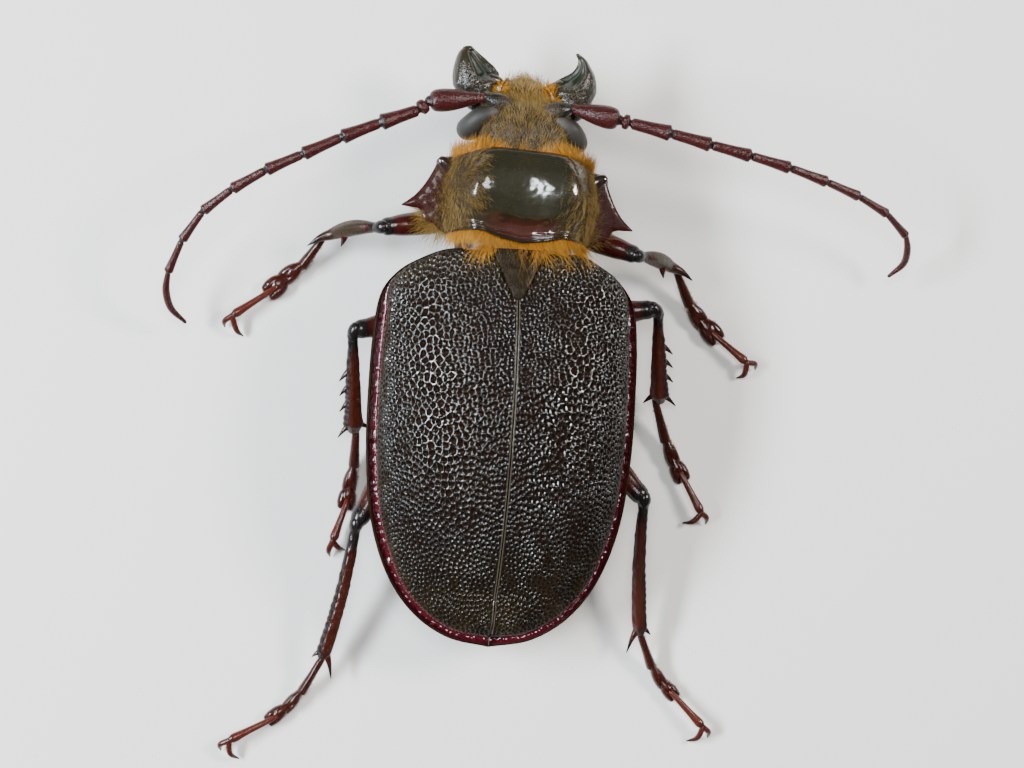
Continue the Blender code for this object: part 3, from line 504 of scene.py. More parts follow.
def wingGrid():  # each row runs over the arch from seam to rim, round the lip and back underneath
    edge = smoothRows(wing["edge"], 24)
    edge = edge[edge[:, 0].cumsum() > 0]
    edge = edge[np.argmax(edge[:, 0] > wing["startX"]):]
    edge = evenRows(edge, wing["rows"], edge * 0.55 + seamPoint(edge[:, 1]) * 0.45)
    seam = seamPoint(edge[:, 1])
    flat = (edge - seam) * (1, 1, 0)
    reach = np.linalg.norm(flat, axis=1)
    out = flat / reach[:, None]
    rim = wing["frontRim"] + (wing["rim"] - wing["frontRim"]) * np.clip((-edge[:, 1] - 1.5) / 2.5, 0, 1)
    foot = reach - rim
    # Rows that pass the scutellum start at its side.
    steps = np.linspace(0, 1, 160)[None] * reach[:, None]
    lies = seam[:, None] + out[:, None] * steps[..., None]
    plateHalf = np.interp(lies[..., 1], *zip(*scutellum["halves"]), left=0, right=0)
    leave = np.where(lies[..., 0] < plateHalf + scutellum["room"], steps, 0).max(axis=1)
    start = np.arcsin(np.clip(leave / foot, 0, 0.97))
    tall = seam[:, 2] - edge[:, 2]
    angle = np.array([evenTurns(*row) for row in zip(start, foot, tall)])
    rise = np.cos(np.clip(angle, 0, math.pi / 2 - 1e-6)) ** wing["fullness"]
    dome = seam[:, None] + out[:, None] * (foot[:, None] * np.sin(angle))[..., None]
    dome[..., 2] = edge[:, 2:3] + (seam[:, 2:3] - edge[:, 2:3]) * rise
    profile = smoothRows(wing["rimProfile"], 2)[1:]
    scale = (rim / wing["rim"])[:, None]
    lip = edge[:, None] - out[:, None] * (profile[:, 0] * scale)[..., None]
    lip[..., 2] = edge[:, 2:3] + profile[:, 1] * np.where(profile[:, 1] > 0, scale, 1)
    back = np.linspace(1, 0, wing["underColumns"])[None]
    angle = start[:, None] + (math.pi / 2 - start[:, None]) * back
    inner = np.maximum(foot - wing["wall"], leave)
    under = seam[:, None] + out[:, None] * (inner[:, None] * np.sin(angle))[..., None]
    low = edge[:, 2:3] + wing["rimProfile"][-1][1]
    under[..., 2] = low + (seam[:, 2:3] - wing["wall"] - low) * np.cos(angle) ** wing["fullness"]
    rings = np.concatenate([dome, lip, under], axis=1)
    rings[..., 0] = np.maximum(rings[..., 0], wing["seamGap"])
    return rings, dome.shape[1], dome.shape[1] + lip.shape[1], edge, rim


def scatter(points, sizes, seed):  # picks points that keep their size's distance from each other
    cell = sizes.max()
    keys = np.floor(points / cell).astype(int)
    around = [(i, j, k) for i in (-1, 0, 1) for j in (-1, 0, 1) for k in (-1, 0, 1)]
    kept, bins = [], {}
    for i in np.random.default_rng(seed).permutation(len(points)).tolist():
        x, y, z = keys[i].tolist()
        place, reach = points[i], sizes[i] ** 2
        near = [j for a, b, c in around for j in bins.get((x + a, y + b, z + c), ())]
        if near and (((points[near] - place) ** 2).sum(axis=1) < reach).any():
            continue
        kept.append(i)
        bins.setdefault((x, y, z), []).append(i)
    return kept


def networkRelief(points, sizes, seed):
    # Height of a net of ridges round bowl-shaped cells, in mm, and how much is crest.
    kept = scatter(points, sizes, seed)
    tree = kdtree.KDTree(len(kept))
    for slot, i in enumerate(kept):
        tree.insert(points[i], slot)
    tree.balance()
    found = [tree.find_n(place, 2) for place in points.tolist()]
    near = np.array([[hit[2] for hit in hits] for hits in found])
    picks = np.array([[hit[1] for hit in hits] for hits in found])
    seeds = points[kept]
    apart = np.linalg.norm(seeds[picks[:, 0]] - seeds[picks[:, 1]], axis=1)
    border = (near[:, 1] ** 2 - near[:, 0] ** 2) / (2 * np.maximum(apart, 1e-6))
    size = sizes * 1.25
    middle = (seeds[picks[:, 0]] + seeds[picks[:, 1]]) / 2
    strength = 0.72 + 0.5 * softNoise(middle, 0.8, seed + 1)
    half = wing["ridgeWidth"][0] + wing["ridgeWidth"][1] * size
    ridge = np.exp(-((border / half) ** 3.6)) * np.clip(strength, 0.2, 1.2)
    bowl = 1 - np.clip(near[:, 0] / (0.55 * size), 0, 1) ** 2
    return (ridge * wing["ridgeShare"] - bowl * wing["bowlShare"]) * size, ridge


def alongLine(x, y, spot):  # 1 on the line down each wing case, less aside of it, ahead and behind
    line = wing["line"]
    return bell(x, line[0] + line[1] * y, spot["wide"]) * bell(y, spot["row"], spot["long"])


def makeWingCase(side, material):
    rings, domeEnd, lipEnd, edge, rim = wingGrid()
    top, dome = rings[:, :lipEnd], rings[:, :domeEnd]
    normals = gridNormals(top)
    normals *= np.sign(normals[..., 2].mean())
    x, y = dome[..., 0], dome[..., 1]
    cell, bead = wing["cell"], wing["seamBead"]
    sizes = cell["fine"] + (cell["coarse"] - cell["fine"]) * alongLine(x, y, cell) + cell["spare"]
    share = np.linspace(0, 1, domeEnd)[None]
    squeezed = dome.reshape(-1, 3) * (1, wing["stretch"], 1)
    relief, crest = networkRelief(squeezed, sizes.ravel(), wing["seed"] + sides[side])
    relief, crest = relief.reshape(x.shape), crest.reshape(x.shape)
    clear = ease(x, bead, bead + 0.1) * ease(share, 1.0, 0.97)  # of the seam and the rim
    height = np.zeros(top.shape[:2])
    swell, swellSize, swellSeed = wing["swell"]
    height[:, :domeEnd] = relief * clear + swell * softNoise(dome, swellSize, swellSeed) * clear
    height[:, :domeEnd] += wing["seamBeadHeight"] * bell(x, 0.05, 0.04) * ease(y, -27.2, -26.4)
    lip = top[:, domeEnd:]
    ribs = 1.2 * softNoise(lip * (1, 1, 0.3), 0.3, 6) + 0.9 * softNoise(lip, 0.16, 8)
    channel = bell(np.arange(lipEnd - domeEnd), 3, 4)[None]
    height[:, domeEnd:] += (0.05 * ribs + 0.03 * softNoise(lip, 0.25, 5)) * channel
    rings[:, :lipEnd] = top + normals * height[..., None]
    marks = {name: np.zeros(rings.shape[:2]) for name in ("crest", "haze", "seam", "rim")}
    marks["crest"][:, :domeEnd] = np.clip(crest * 1.3, 0, 1) * clear
    fromRim = np.linalg.norm(dome - edge[:, None], axis=-1)
    hazes = zip((fromRim, y, y), wing["haze"])
    haze = sum(ease(place, low, high) * strength for place, (low, high, strength) in hazes)
    marks["haze"][:, :domeEnd] = np.clip(haze, 0, 1)
    # The seam mark carries the painted sheen of the seam bead.
    marks["seam"][:, :domeEnd] = 1 - ease(x, bead, bead + 0.06)
    rimmed = ease(fromRim, rim[:, None] * 1.9, rim[:, None] * 1.15)
    marks["rim"][:, :domeEnd] = rimmed * ease(y, -1.5, -4)
    place = np.arange(rings.shape[1] - domeEnd)
    marks["rim"][:, domeEnd:] = ease(edge[:, 1:2], -0.5, -3.5) * ease(place, 9, 6)[None]
    marks["haze"][:, domeEnd:] = ease(place, 6, 9)[None]
    shine = wing["shine"]
    bright = np.full(rings.shape[:2], shine["all"])
    bright[:, :domeEnd] += shine["line"] * alongLine(x, y, shine)
    bright[:, :domeEnd] -= shine["rearLoss"] * ease(y, -13, -20)
    gloss = marks["crest"] * bright * (1 - shine["hazeLoss"] * marks["haze"])
    marks["gloss"] = np.clip(gloss + shine["rim"] * marks["rim"] + shine["seam"] * marks["seam"], 0, 1)
    rings = mirrored(rings, side)
    for half, (first, last) in wing["halves"].items():
        rows = slice(int(first * len(edge)), int(last * len(edge)) + 1)
        shape = loft(rings[rows], {mark: values[rows] for mark, values in marks.items()})
        pieceOf(f"wingCase{side.title()}{half}", [shape], material, ["elytron_" + side])


def scutellumGrid(count, columns):
    back, front = scutellum["halves"][0][0], scutellum["halves"][-1][0]
    rows = np.linspace(back, front, count)
    width = softCurve(scutellum["halves"], rows)
    across = np.linspace(-1, 1, columns)
    top = np.interp((front - rows) / (front - back), *zip(*scutellum["top"]))
    places = np.broadcast_arrays(width[:, None] * across, rows[:, None], top[:, None])
    over = np.stack(places, axis=-1)
    over[..., 2] += scutellum["crown"] * (1 - across**2) ** 0.7 * ease(width, 0, 0.9)[:, None]
    return over


def makeScutellum(material):
    over = scutellumGrid(60, 41)
    under = over[:, ::-1].copy()
    under[..., 2] = over[:, :1, 2] - scutellum["thick"]
    height, size, seed = scutellum["grain"]
    over[..., 2] += height * softNoise(over, size, seed)
    rings = np.concatenate([over, under], axis=1)
    pieceOf("scutellumPlate", [loft(rings)], material, ["scutellum"], 50)


# Fore body shield, in its own frame: turned a little and set at the front of the wing cases

shield = {
    "at": (0.27, 0.95),
    "yaw": -3.0,
    "marginZ": 6.4,
    "edge": 0.35,
    "rear": [(0.0, 0.0), (1.6, 0.25), (3.0, 0.6), (4.2, 0.45), (5.0, 0.2), (7.0, 0.2)],
    "front": [
        (0.0, 6.5), (2.0, 6.5), (3.0, 6.35), (4.3, 5.9), (5.4, 5.45), (6.0, 5.75), (7.0, 5.8),
    ],
    "side": [
        (0.0, 4.9), (0.03, 5.15), (0.1, 5.75), (0.19, 6.45), (0.28, 6.7), (0.35, 7.0), (0.41, 7.8),
        (0.45, 8.25), (0.49, 7.85), (0.55, 7.3), (0.66, 6.75), (0.78, 6.35), (0.86, 6.15),
        (0.93, 6.1),
        (1.0, 5.8),
    ],
    "sweep": 0.33,
    "sweepFrom": 5.9,
    "topZ": [
        (0.0, 9.65), (0.12, 9.65), (0.3, 10.05), (0.5, 10.3), (0.75, 10.15), (0.92, 9.55),
        (1.0, 9.1),
    ],
    "bump": {"x": 4.45, "share": 0.55, "height": 0.45, "wide": 1.6, "long": 0.34},
    "dip": 0.2,
    "frontTooth": [
        (4.6, 4.3, 6.3, 0.6, 0.28), (5.3, 5.0, 6.4, 0.48, 0.3), (5.75, 5.3, 6.45, 0.36, 0.26),
    ],
    "plateDrop": 0.34,
    "rearBead": 0.16,
    "rearGroove": 0.1,
    "rearFold": 0.12,
    "frontRoll": 0.3,
    "waves": [(0.016, 0.9, 11), (0.01, 0.3, 12)],
    "crumple": (0.09, 0.38, 13),
    "bellyZ": 2.7,
    "rows": 230,
    "columns": 220,
    "underColumns": 50,
}


def shieldTop(x, share):
    edge = 4.9 + 0.5 * np.sin(math.pi * share)
    rise = (1 - np.minimum(1, np.abs(x) / edge) ** 4.4) ** 0.8
    z = shield["marginZ"] + (softCurve(shield["topZ"], share) - shield["marginZ"]) * rise
    bump = shield["bump"]
    far = ((np.abs(x) - bump["x"]) / bump["wide"]) ** 2 + ((share - bump["share"]) / bump["long"]) ** 2
    z += bump["height"] * np.exp(-far) * rise
    z -= shield["dip"] * bell(x, 0, 1.5) * bell(share, 0.45, 0.3)
    plate = np.exp(-((np.abs(x) / 2.6) ** 4)) * ease(share, 0.3, 0.16)
    z -= shield["plateDrop"] * plate * rise
    z += shield["rearBead"] * bell(share, 0.018, 0.016) * ease(np.abs(x), 5.2, 4.6)
    z -= shield["rearGroove"] * bell(share, 0.055, 0.02) * rise
    wavy = 0.085 + 0.02 * np.cos(x * 1.4)
    z += shield["rearFold"] * bell(share, wavy, 0.016) * rise * ease(np.abs(x), 0.6, 1.6)
    z -= shield["frontRoll"] * ease(share, 0.965, 1.0) ** 2
    return z, plate


def shieldGrid(rows, columns):
    share = np.linspace(0, 1, rows)[:, None]
    even = np.linspace(-1, 1, columns)[None]
    u = 0.5 * even + 0.5 * np.sin(even * math.pi / 2)
    x = u * softCurve(shield["side"], share)
    rear, front = softCurve(shield["rear"], np.abs(x)), softCurve(shield["front"], np.abs(x))
    y = rear + (front - rear) * share - shield["sweep"] * np.maximum(0, np.abs(x) - shield["sweepFrom"])
    z, plate = shieldTop(x, share)
    z -= (shield["edge"] / 2) * np.abs(u) ** 24
    return share, u, np.stack([x, y, z], axis=-1), plate


def makeForeShield(material):
    share, u, over, plate = shieldGrid(shield["rows"], shield["columns"])
    x = over[..., 0]
    fromMiddle = np.abs(x)
    over[..., 2] += sum(height * softNoise(over, size, seed) for height, size, seed in shield["waves"])
    crumpled = bell(share, 0.2, 0.09) * ease(fromMiddle, 0.8, 1.8) * ease(fromMiddle, 5.0, 4.2)
    height, size, seed = shield["crumple"]
    over[..., 2] += height * softNoise(over, size, seed) * crumpled
    picks = np.linspace(shield["columns"] - 1, 0, shield["underColumns"]).astype(int)
    under = over[:, picks].copy()
    lies = np.abs(np.broadcast_to(u, x.shape)[:, picks])
    low = shield["marginZ"] - shield["edge"] * (0.5 + 0.5 * (1 - lies**24))
    under[..., 2] = shield["bellyZ"] + (low - shield["bellyZ"]) * np.minimum(1, lies / 0.85) ** 2.2
    under = under[:, 1:-1]
    rings = turned(np.concatenate([over, under], axis=1), shield["at"], shield["yaw"])
    margin = ease(fromMiddle, 4.9, 5.9)
    pitted = bell(share, 0.22, 0.16) * ease(fromMiddle, 5.4, 4.2) * ease(fromMiddle, 0.8, 1.8)
    pitted += 0.8 * bell(x, -3.3, 1.6) * bell(share, 0.55, 0.3)
    gloss = 1 - 0.5 * bell(x, -2.6, 1.9) - ease(fromMiddle, 3.3, 4.3) + 0.1 * margin
    marks = {  # on top, and what the underside has
        "plate": (plate * ease(share, 0.02, 0.05), 0),
        "red": (margin, 0.6),
        "side": (ease(fromMiddle, 2.4, 4.4), 0),
        "pitted": (pitted + 0.5 * ease(fromMiddle, 3.4, 4.6) + 0.2, 0),
        "bead": (bell(share, 0.018, 0.02) + ease(share, 0.95, 0.99) * 0.8, 0),
        "dull": (ease(fromMiddle, 3.6, 4.6) - 0.66 * margin, 0),
        "gloss": (gloss * (1 - 0.6 * ease(share, 0.9, 0.96)), 0.2),
    }
    wider = ((0, 0), (0, under.shape[1]))
    for mark, (values, below) in marks.items():
        values = np.broadcast_to(np.clip(values, 0, 1), x.shape)
        marks[mark] = np.pad(values, wider, constant_values=below)
    shapes = [loft(rings, marks)]
    for side in sides:
        tooth = turned(mirrored(shield["frontTooth"], side), shield["at"], shield["yaw"])
        shapes.append(loft(tubeRings(tooth, 24, 0.07)[0], {"red": 0.6, "bead": 0.4, "gloss": 0.6}))
    pieceOf("foreShield", shapes, material, ["pronotum"], 55)


# Head

head = {
    "at": (0.34, 8.55),
    "yaw": -4.5,
    "sections": [
        (-2.3, 2.7, 4.3, 8.0), (-1.1, 3.1, 4.0, 8.6), (0.2, 3.45, 3.7, 8.75), (1.1, 3.25, 3.6, 8.5),
        (1.9, 3.35, 3.9, 8.0), (2.4, 3.65, 4.2, 7.2), (2.75, 2.9, 4.6, 6.6), (2.85, 1.6, 5.0, 6.2),
    ],
    "squareness": 0.8,
    "furrow": 0.22,
    "tubercle": [
        (1.3, 1.6, 7.4, 0.75, 0.6), (2.1, 2.0, 7.85, 0.66, 0.5), (2.75, 2.2, 7.8, 0.42, 0.4),
    ],
    "eye": [
        (2.35, 1.3, 7.85, 0.42, 0.42), (3.2, 0.85, 7.6, 0.72, 0.7), (3.72, 0.2, 6.9, 0.86, 0.8),
        (3.75, 0.05, 6.0, 0.86, 0.8), (3.55, 0.3, 5.2, 0.7, 0.7), (3.1, 0.85, 4.75, 0.42, 0.42),
    ],
    "upperLip": [(0, 2.6, 5.7, 1.75, 0.5), (0, 3.35, 5.45, 1.8, 0.45), (0, 3.75, 5.1, 1.3, 0.3)],
    "lowerLip": [(0, 2.4, 4.25, 1.3, 0.35), (0, 3.1, 4.05, 1.1, 0.3), (0, 3.5, 3.9, 0.7, 0.25)],
    "lipPalp": [(0.6, 3.1, 3.9), (0.7, 3.3, 3.6), (1.05, 3.8, 3.3), (1.1, 4.2, 2.9)],
    "longPalp": [
        (1.7, 2.5, 3.9), (1.9, 2.75, 3.75), (2.5, 3.2, 3.5), (3.1, 3.6, 3.2), (3.5, 4.2, 2.7),
    ],
    "palpHalf": 0.28,
    "lumps": [(0.05, 0.6, 21), (0.02, 0.22, 22)],
}


def headPlaced(points, side="right"):
    return turned(mirrored(points, side), head["at"], head["yaw"])


def headTube(stations, side="right", around=32, spacing=0.09, **more):
    return tubeRings(headPlaced(stations, side), around, spacing, **more)


def skullRings(count, around):
    stations = [(0, y, 0, half, low, high) for y, half, low, high in head["sections"]]
    rows = evenRows(smoothRows(stations, 10), count)
    angle = 2 * math.pi * np.arange(around)[None] / around
    cos, sin = np.cos(angle), np.sin(angle)
    half, low, high = (rows[:, column:column + 1] for column in (3, 4, 5))
    x = half * np.sign(cos) * np.abs(cos) ** head["squareness"]
    z = (low + high) / 2 + (high - low) / 2 * np.sign(sin) * np.abs(sin) ** head["squareness"]
    z -= head["furrow"] * bell(x, 0, 0.3) * (sin > 0.3) * ease(rows[:, 1:2], -2.2, 0)
    y = np.broadcast_to(rows[:, 1:2], x.shape)
    return np.stack([x, y, z], axis=-1)


def makeHead(material):
    shapes = [loft(headPlaced(roughened(skullRings(120, 150), head["lumps"])))]
    for side in sides:
        rings, shares, angles = headTube(head["tubercle"], side)
        shapes.append(loft(rings, {"knob": ease(shares, 0.55, 0.8)}))
    pieceOf("headCapsule", shapes, material, ["head"])


def makeEyes(material):
    for side in sides:
        rings, shares, angles = headTube(head["eye"], side, 44, 0.07, up=(0, 1, 0))
        edge = np.clip(ease(shares, 0.12, 0.0) + ease(shares, 0.88, 1.0), 0, 1)
        pieceOf("eye" + side.title(), [loft(rings, {"edge": edge})], material, ["eye_" + side])


def palp(route, side):  # a jointed feeler of the mouth
    stations = [(*place, head["palpHalf"], head["palpHalf"]) for place in head[route]]

    def joints(shares, angles):
        return 1 - 0.25 * np.abs(np.cos(shares * math.pi * 3)) ** 6

    return loft(headTube(stations, side, 18, 0.07, shape=joints)[0])


def makeMouth(material):
    upper, lower = (loft(headTube(head[lip], around=40)[0]) for lip in ("upperLip", "lowerLip"))
    pieceOf("upperLip", [upper], material, ["labrum"])
    shapes = [lower] + [palp("lipPalp", side) for side in sides]
    pieceOf("lowerLip", shapes, material, ["labium"])
    for side in sides:
        shapes = [palp("longPalp", side)]
        pieceOf("longPalp" + side.title(), shapes, material, ["maxillary_palp_" + side])


# Jaws: each gapes, and is rolled its own way

jaws = {
    "left": {
        "blade": [
            (-2.75, 11.2, 5.8, 1.1, 1.0), (-2.85, 11.75, 5.8, 1.4, 1.1),
            (-3.05, 12.5, 5.8, 1.68, 1.2),
            (-3.45, 13.35, 5.85, 1.32, 1.1), (-3.7, 13.95, 5.95, 0.92, 0.9),
            (-3.8, 14.35, 6.05, 0.62, 0.55),
            (-3.78, 14.62, 6.1, 0.36, 0.3),
        ],
        "tooth": [
            (-2.0, 12.45, 5.85, 0.55, 0.6), (-1.45, 12.4, 5.85, 0.36, 0.4),
            (-1.05, 12.25, 5.8, 0.16, 0.2),
        ],
        "hollowAt": 48,
    },
    "right": {
        "blade": [
            (3.9, 10.9, 5.8, 1.1, 1.0), (3.95, 11.4, 5.8, 1.35, 1.1), (3.98, 12.2, 5.8, 1.6, 1.2),
            (4.5, 13.1, 5.85, 0.98, 1.1), (4.56, 13.7, 5.95, 0.56, 0.9),
            (4.42, 14.25, 6.05, 0.3, 0.5),
            (4.05, 14.65, 6.1, 0.14, 0.2),
        ],
        "tooth": [
            (2.9, 12.25, 5.85, 0.55, 0.6), (2.4, 12.2, 5.85, 0.36, 0.4),
            (1.95, 12.1, 5.8, 0.16, 0.2),
        ],
        "hollowAt": 132,
    },
    "hollowDepth": 0.45,
    "hollowWide": 42,
    "lumps": [(0.03, 0.4, 31), (0.016, 0.2, 32)],
}


def makeJaws(material):
    for side in sides:
        jaw = jaws[side]

        def carve(shares, angles):
            turn = (np.degrees(angles) - jaw["hollowAt"] + 180) % 360 - 180
            window = ease(np.abs(turn), jaws["hollowWide"] + 7, jaws["hollowWide"] - 12)
            return 1 - jaws["hollowDepth"] * window * ease(shares, 0.2, 0.45) * ease(shares, 1.0, 0.9)

        rings, shares, angles = tubeRings(
            jaw["blade"], 96, 0.05, shape=carve, steady=3.0, domes=(1.0, 0.4)
        )
        hollow = (1 - carve(shares, angles)) / jaws["hollowDepth"]
        rough = (1 - hollow) * ease(shares, 0.85, 0.45)
        blade = loft(roughened(rings, jaws["lumps"], rough), {"hollow": hollow, "rugose": rough})
        tooth = loft(tubeRings(jaw["tooth"], 24, 0.06)[0])
        pieceOf("jaw" + side.title(), [blade, tooth], material, ["mandible_" + side])


# Feelers

feelers = {
    "left": [
        (-2.5, 11.0, 7.75), (-6.45, 10.47, 8.2), (-7.19, 9.79, 8.3), (-9.81, 8.71, 8.7),
        (-12.45, 7.53, 8.8),
        (-15.06, 6.2, 8.7), (-17.51, 4.98, 8.3), (-19.73, 3.58, 7.6), (-21.61, 2.01, 6.7),
        (-22.92, -0.03, 5.7), (-23.74, -2.25, 4.5), (-23.8, -3.49, 3.7), (-23.37, -4.7, 2.8),
        (-22.32, -5.6, 2.0),
    ],
    "right": [
        (3.4, 10.65, 7.75), (6.88, 10.02, 8.2), (7.65, 9.85, 8.3), (10.52, 9.27, 8.7),
        (13.39, 8.64, 8.8),
        (16.3, 8.06, 8.7), (19.24, 7.43, 8.3), (22.13, 6.67, 7.6), (24.75, 5.86, 6.7),
        (27.14, 4.82, 5.7), (28.96, 3.41, 4.5), (29.33, 2.44, 3.7), (29.33, 1.47, 2.8),
        (28.53, 0.58, 2.0),
    ],
    "halves": [0.8, 0.52, 0.53, 0.48, 0.45, 0.42, 0.39, 0.36, 0.33, 0.3, 0.27],
    "first": [
        (0.0, 0.42), (0.1, 0.46), (0.25, 0.6), (0.5, 0.88), (0.72, 1.02), (0.88, 0.98), (0.96, 0.8),
        (1.0, 0.5),
    ],
    "second": [(0.0, 0.5), (0.3, 0.5), (0.42, 0.95), (0.75, 1.05), (0.88, 0.95), (1.0, 0.5)],
    "others": [
        (0.0, 0.45), (0.035, 0.5), (0.06, 0.72), (0.12, 0.8), (0.5, 0.88), (0.84, 1.04),
        (0.93, 1.12),
        (0.98, 1.02), (1.0, 0.7),
    ],
    "last": (0.7, 1.0, 0.92, 0.5),
    "flat": 0.86,
    "lastFlat": 0.9,
    "nodes": ("scape", "pedicel", "flagellum_base", "flagellum_mid", "flagellum_tip"),
}


def straightLimb(start, end, profile, half, flat, around=24, spacing=0.07, bow=(0, 0, 0), **more):
    start, end, stations = np.array(start, float), np.array(end, float), []
    for share, size in profile:
        place = start + (end - start) * share + np.array(bow) * math.sin(math.pi * share)
        stations.append([*place, half * size, half * size * flat])
    return tubeRings(stations, around, spacing, **more)


def makeFeelers(material):
    for side in sides:
        joints, shapes = feelers[side], []
        for index, half in enumerate(feelers["halves"]):
            if index < 10:
                profile = feelers[("first", "second", "others")[min(index, 2)]]
                start, end = joints[index:index + 2]
                rings, shares, angles = straightLimb(start, end, profile, half, feelers["flat"])
            else:
                sizes = [(half * size, half * size * feelers["lastFlat"]) for size in feelers["last"]]
                stations = [(*joint, *size) for joint, size in zip(joints[10:], sizes)]
                rings, shares, angles = tubeRings(stations, 22, 0.07)
            dark = np.clip(ease(shares, 0.06, 0.0) * 0.8 + ease(shares, 0.93, 0.99), 0, 1)
            shapes.append(loft(rings, {"dark": dark * (1 if index else 0.6)}))
        nodes = [f"antenna_{part}_{side}" for part in feelers["nodes"]]
        pieceOf("feeler" + side.title(), shapes, material, nodes)


# Legs

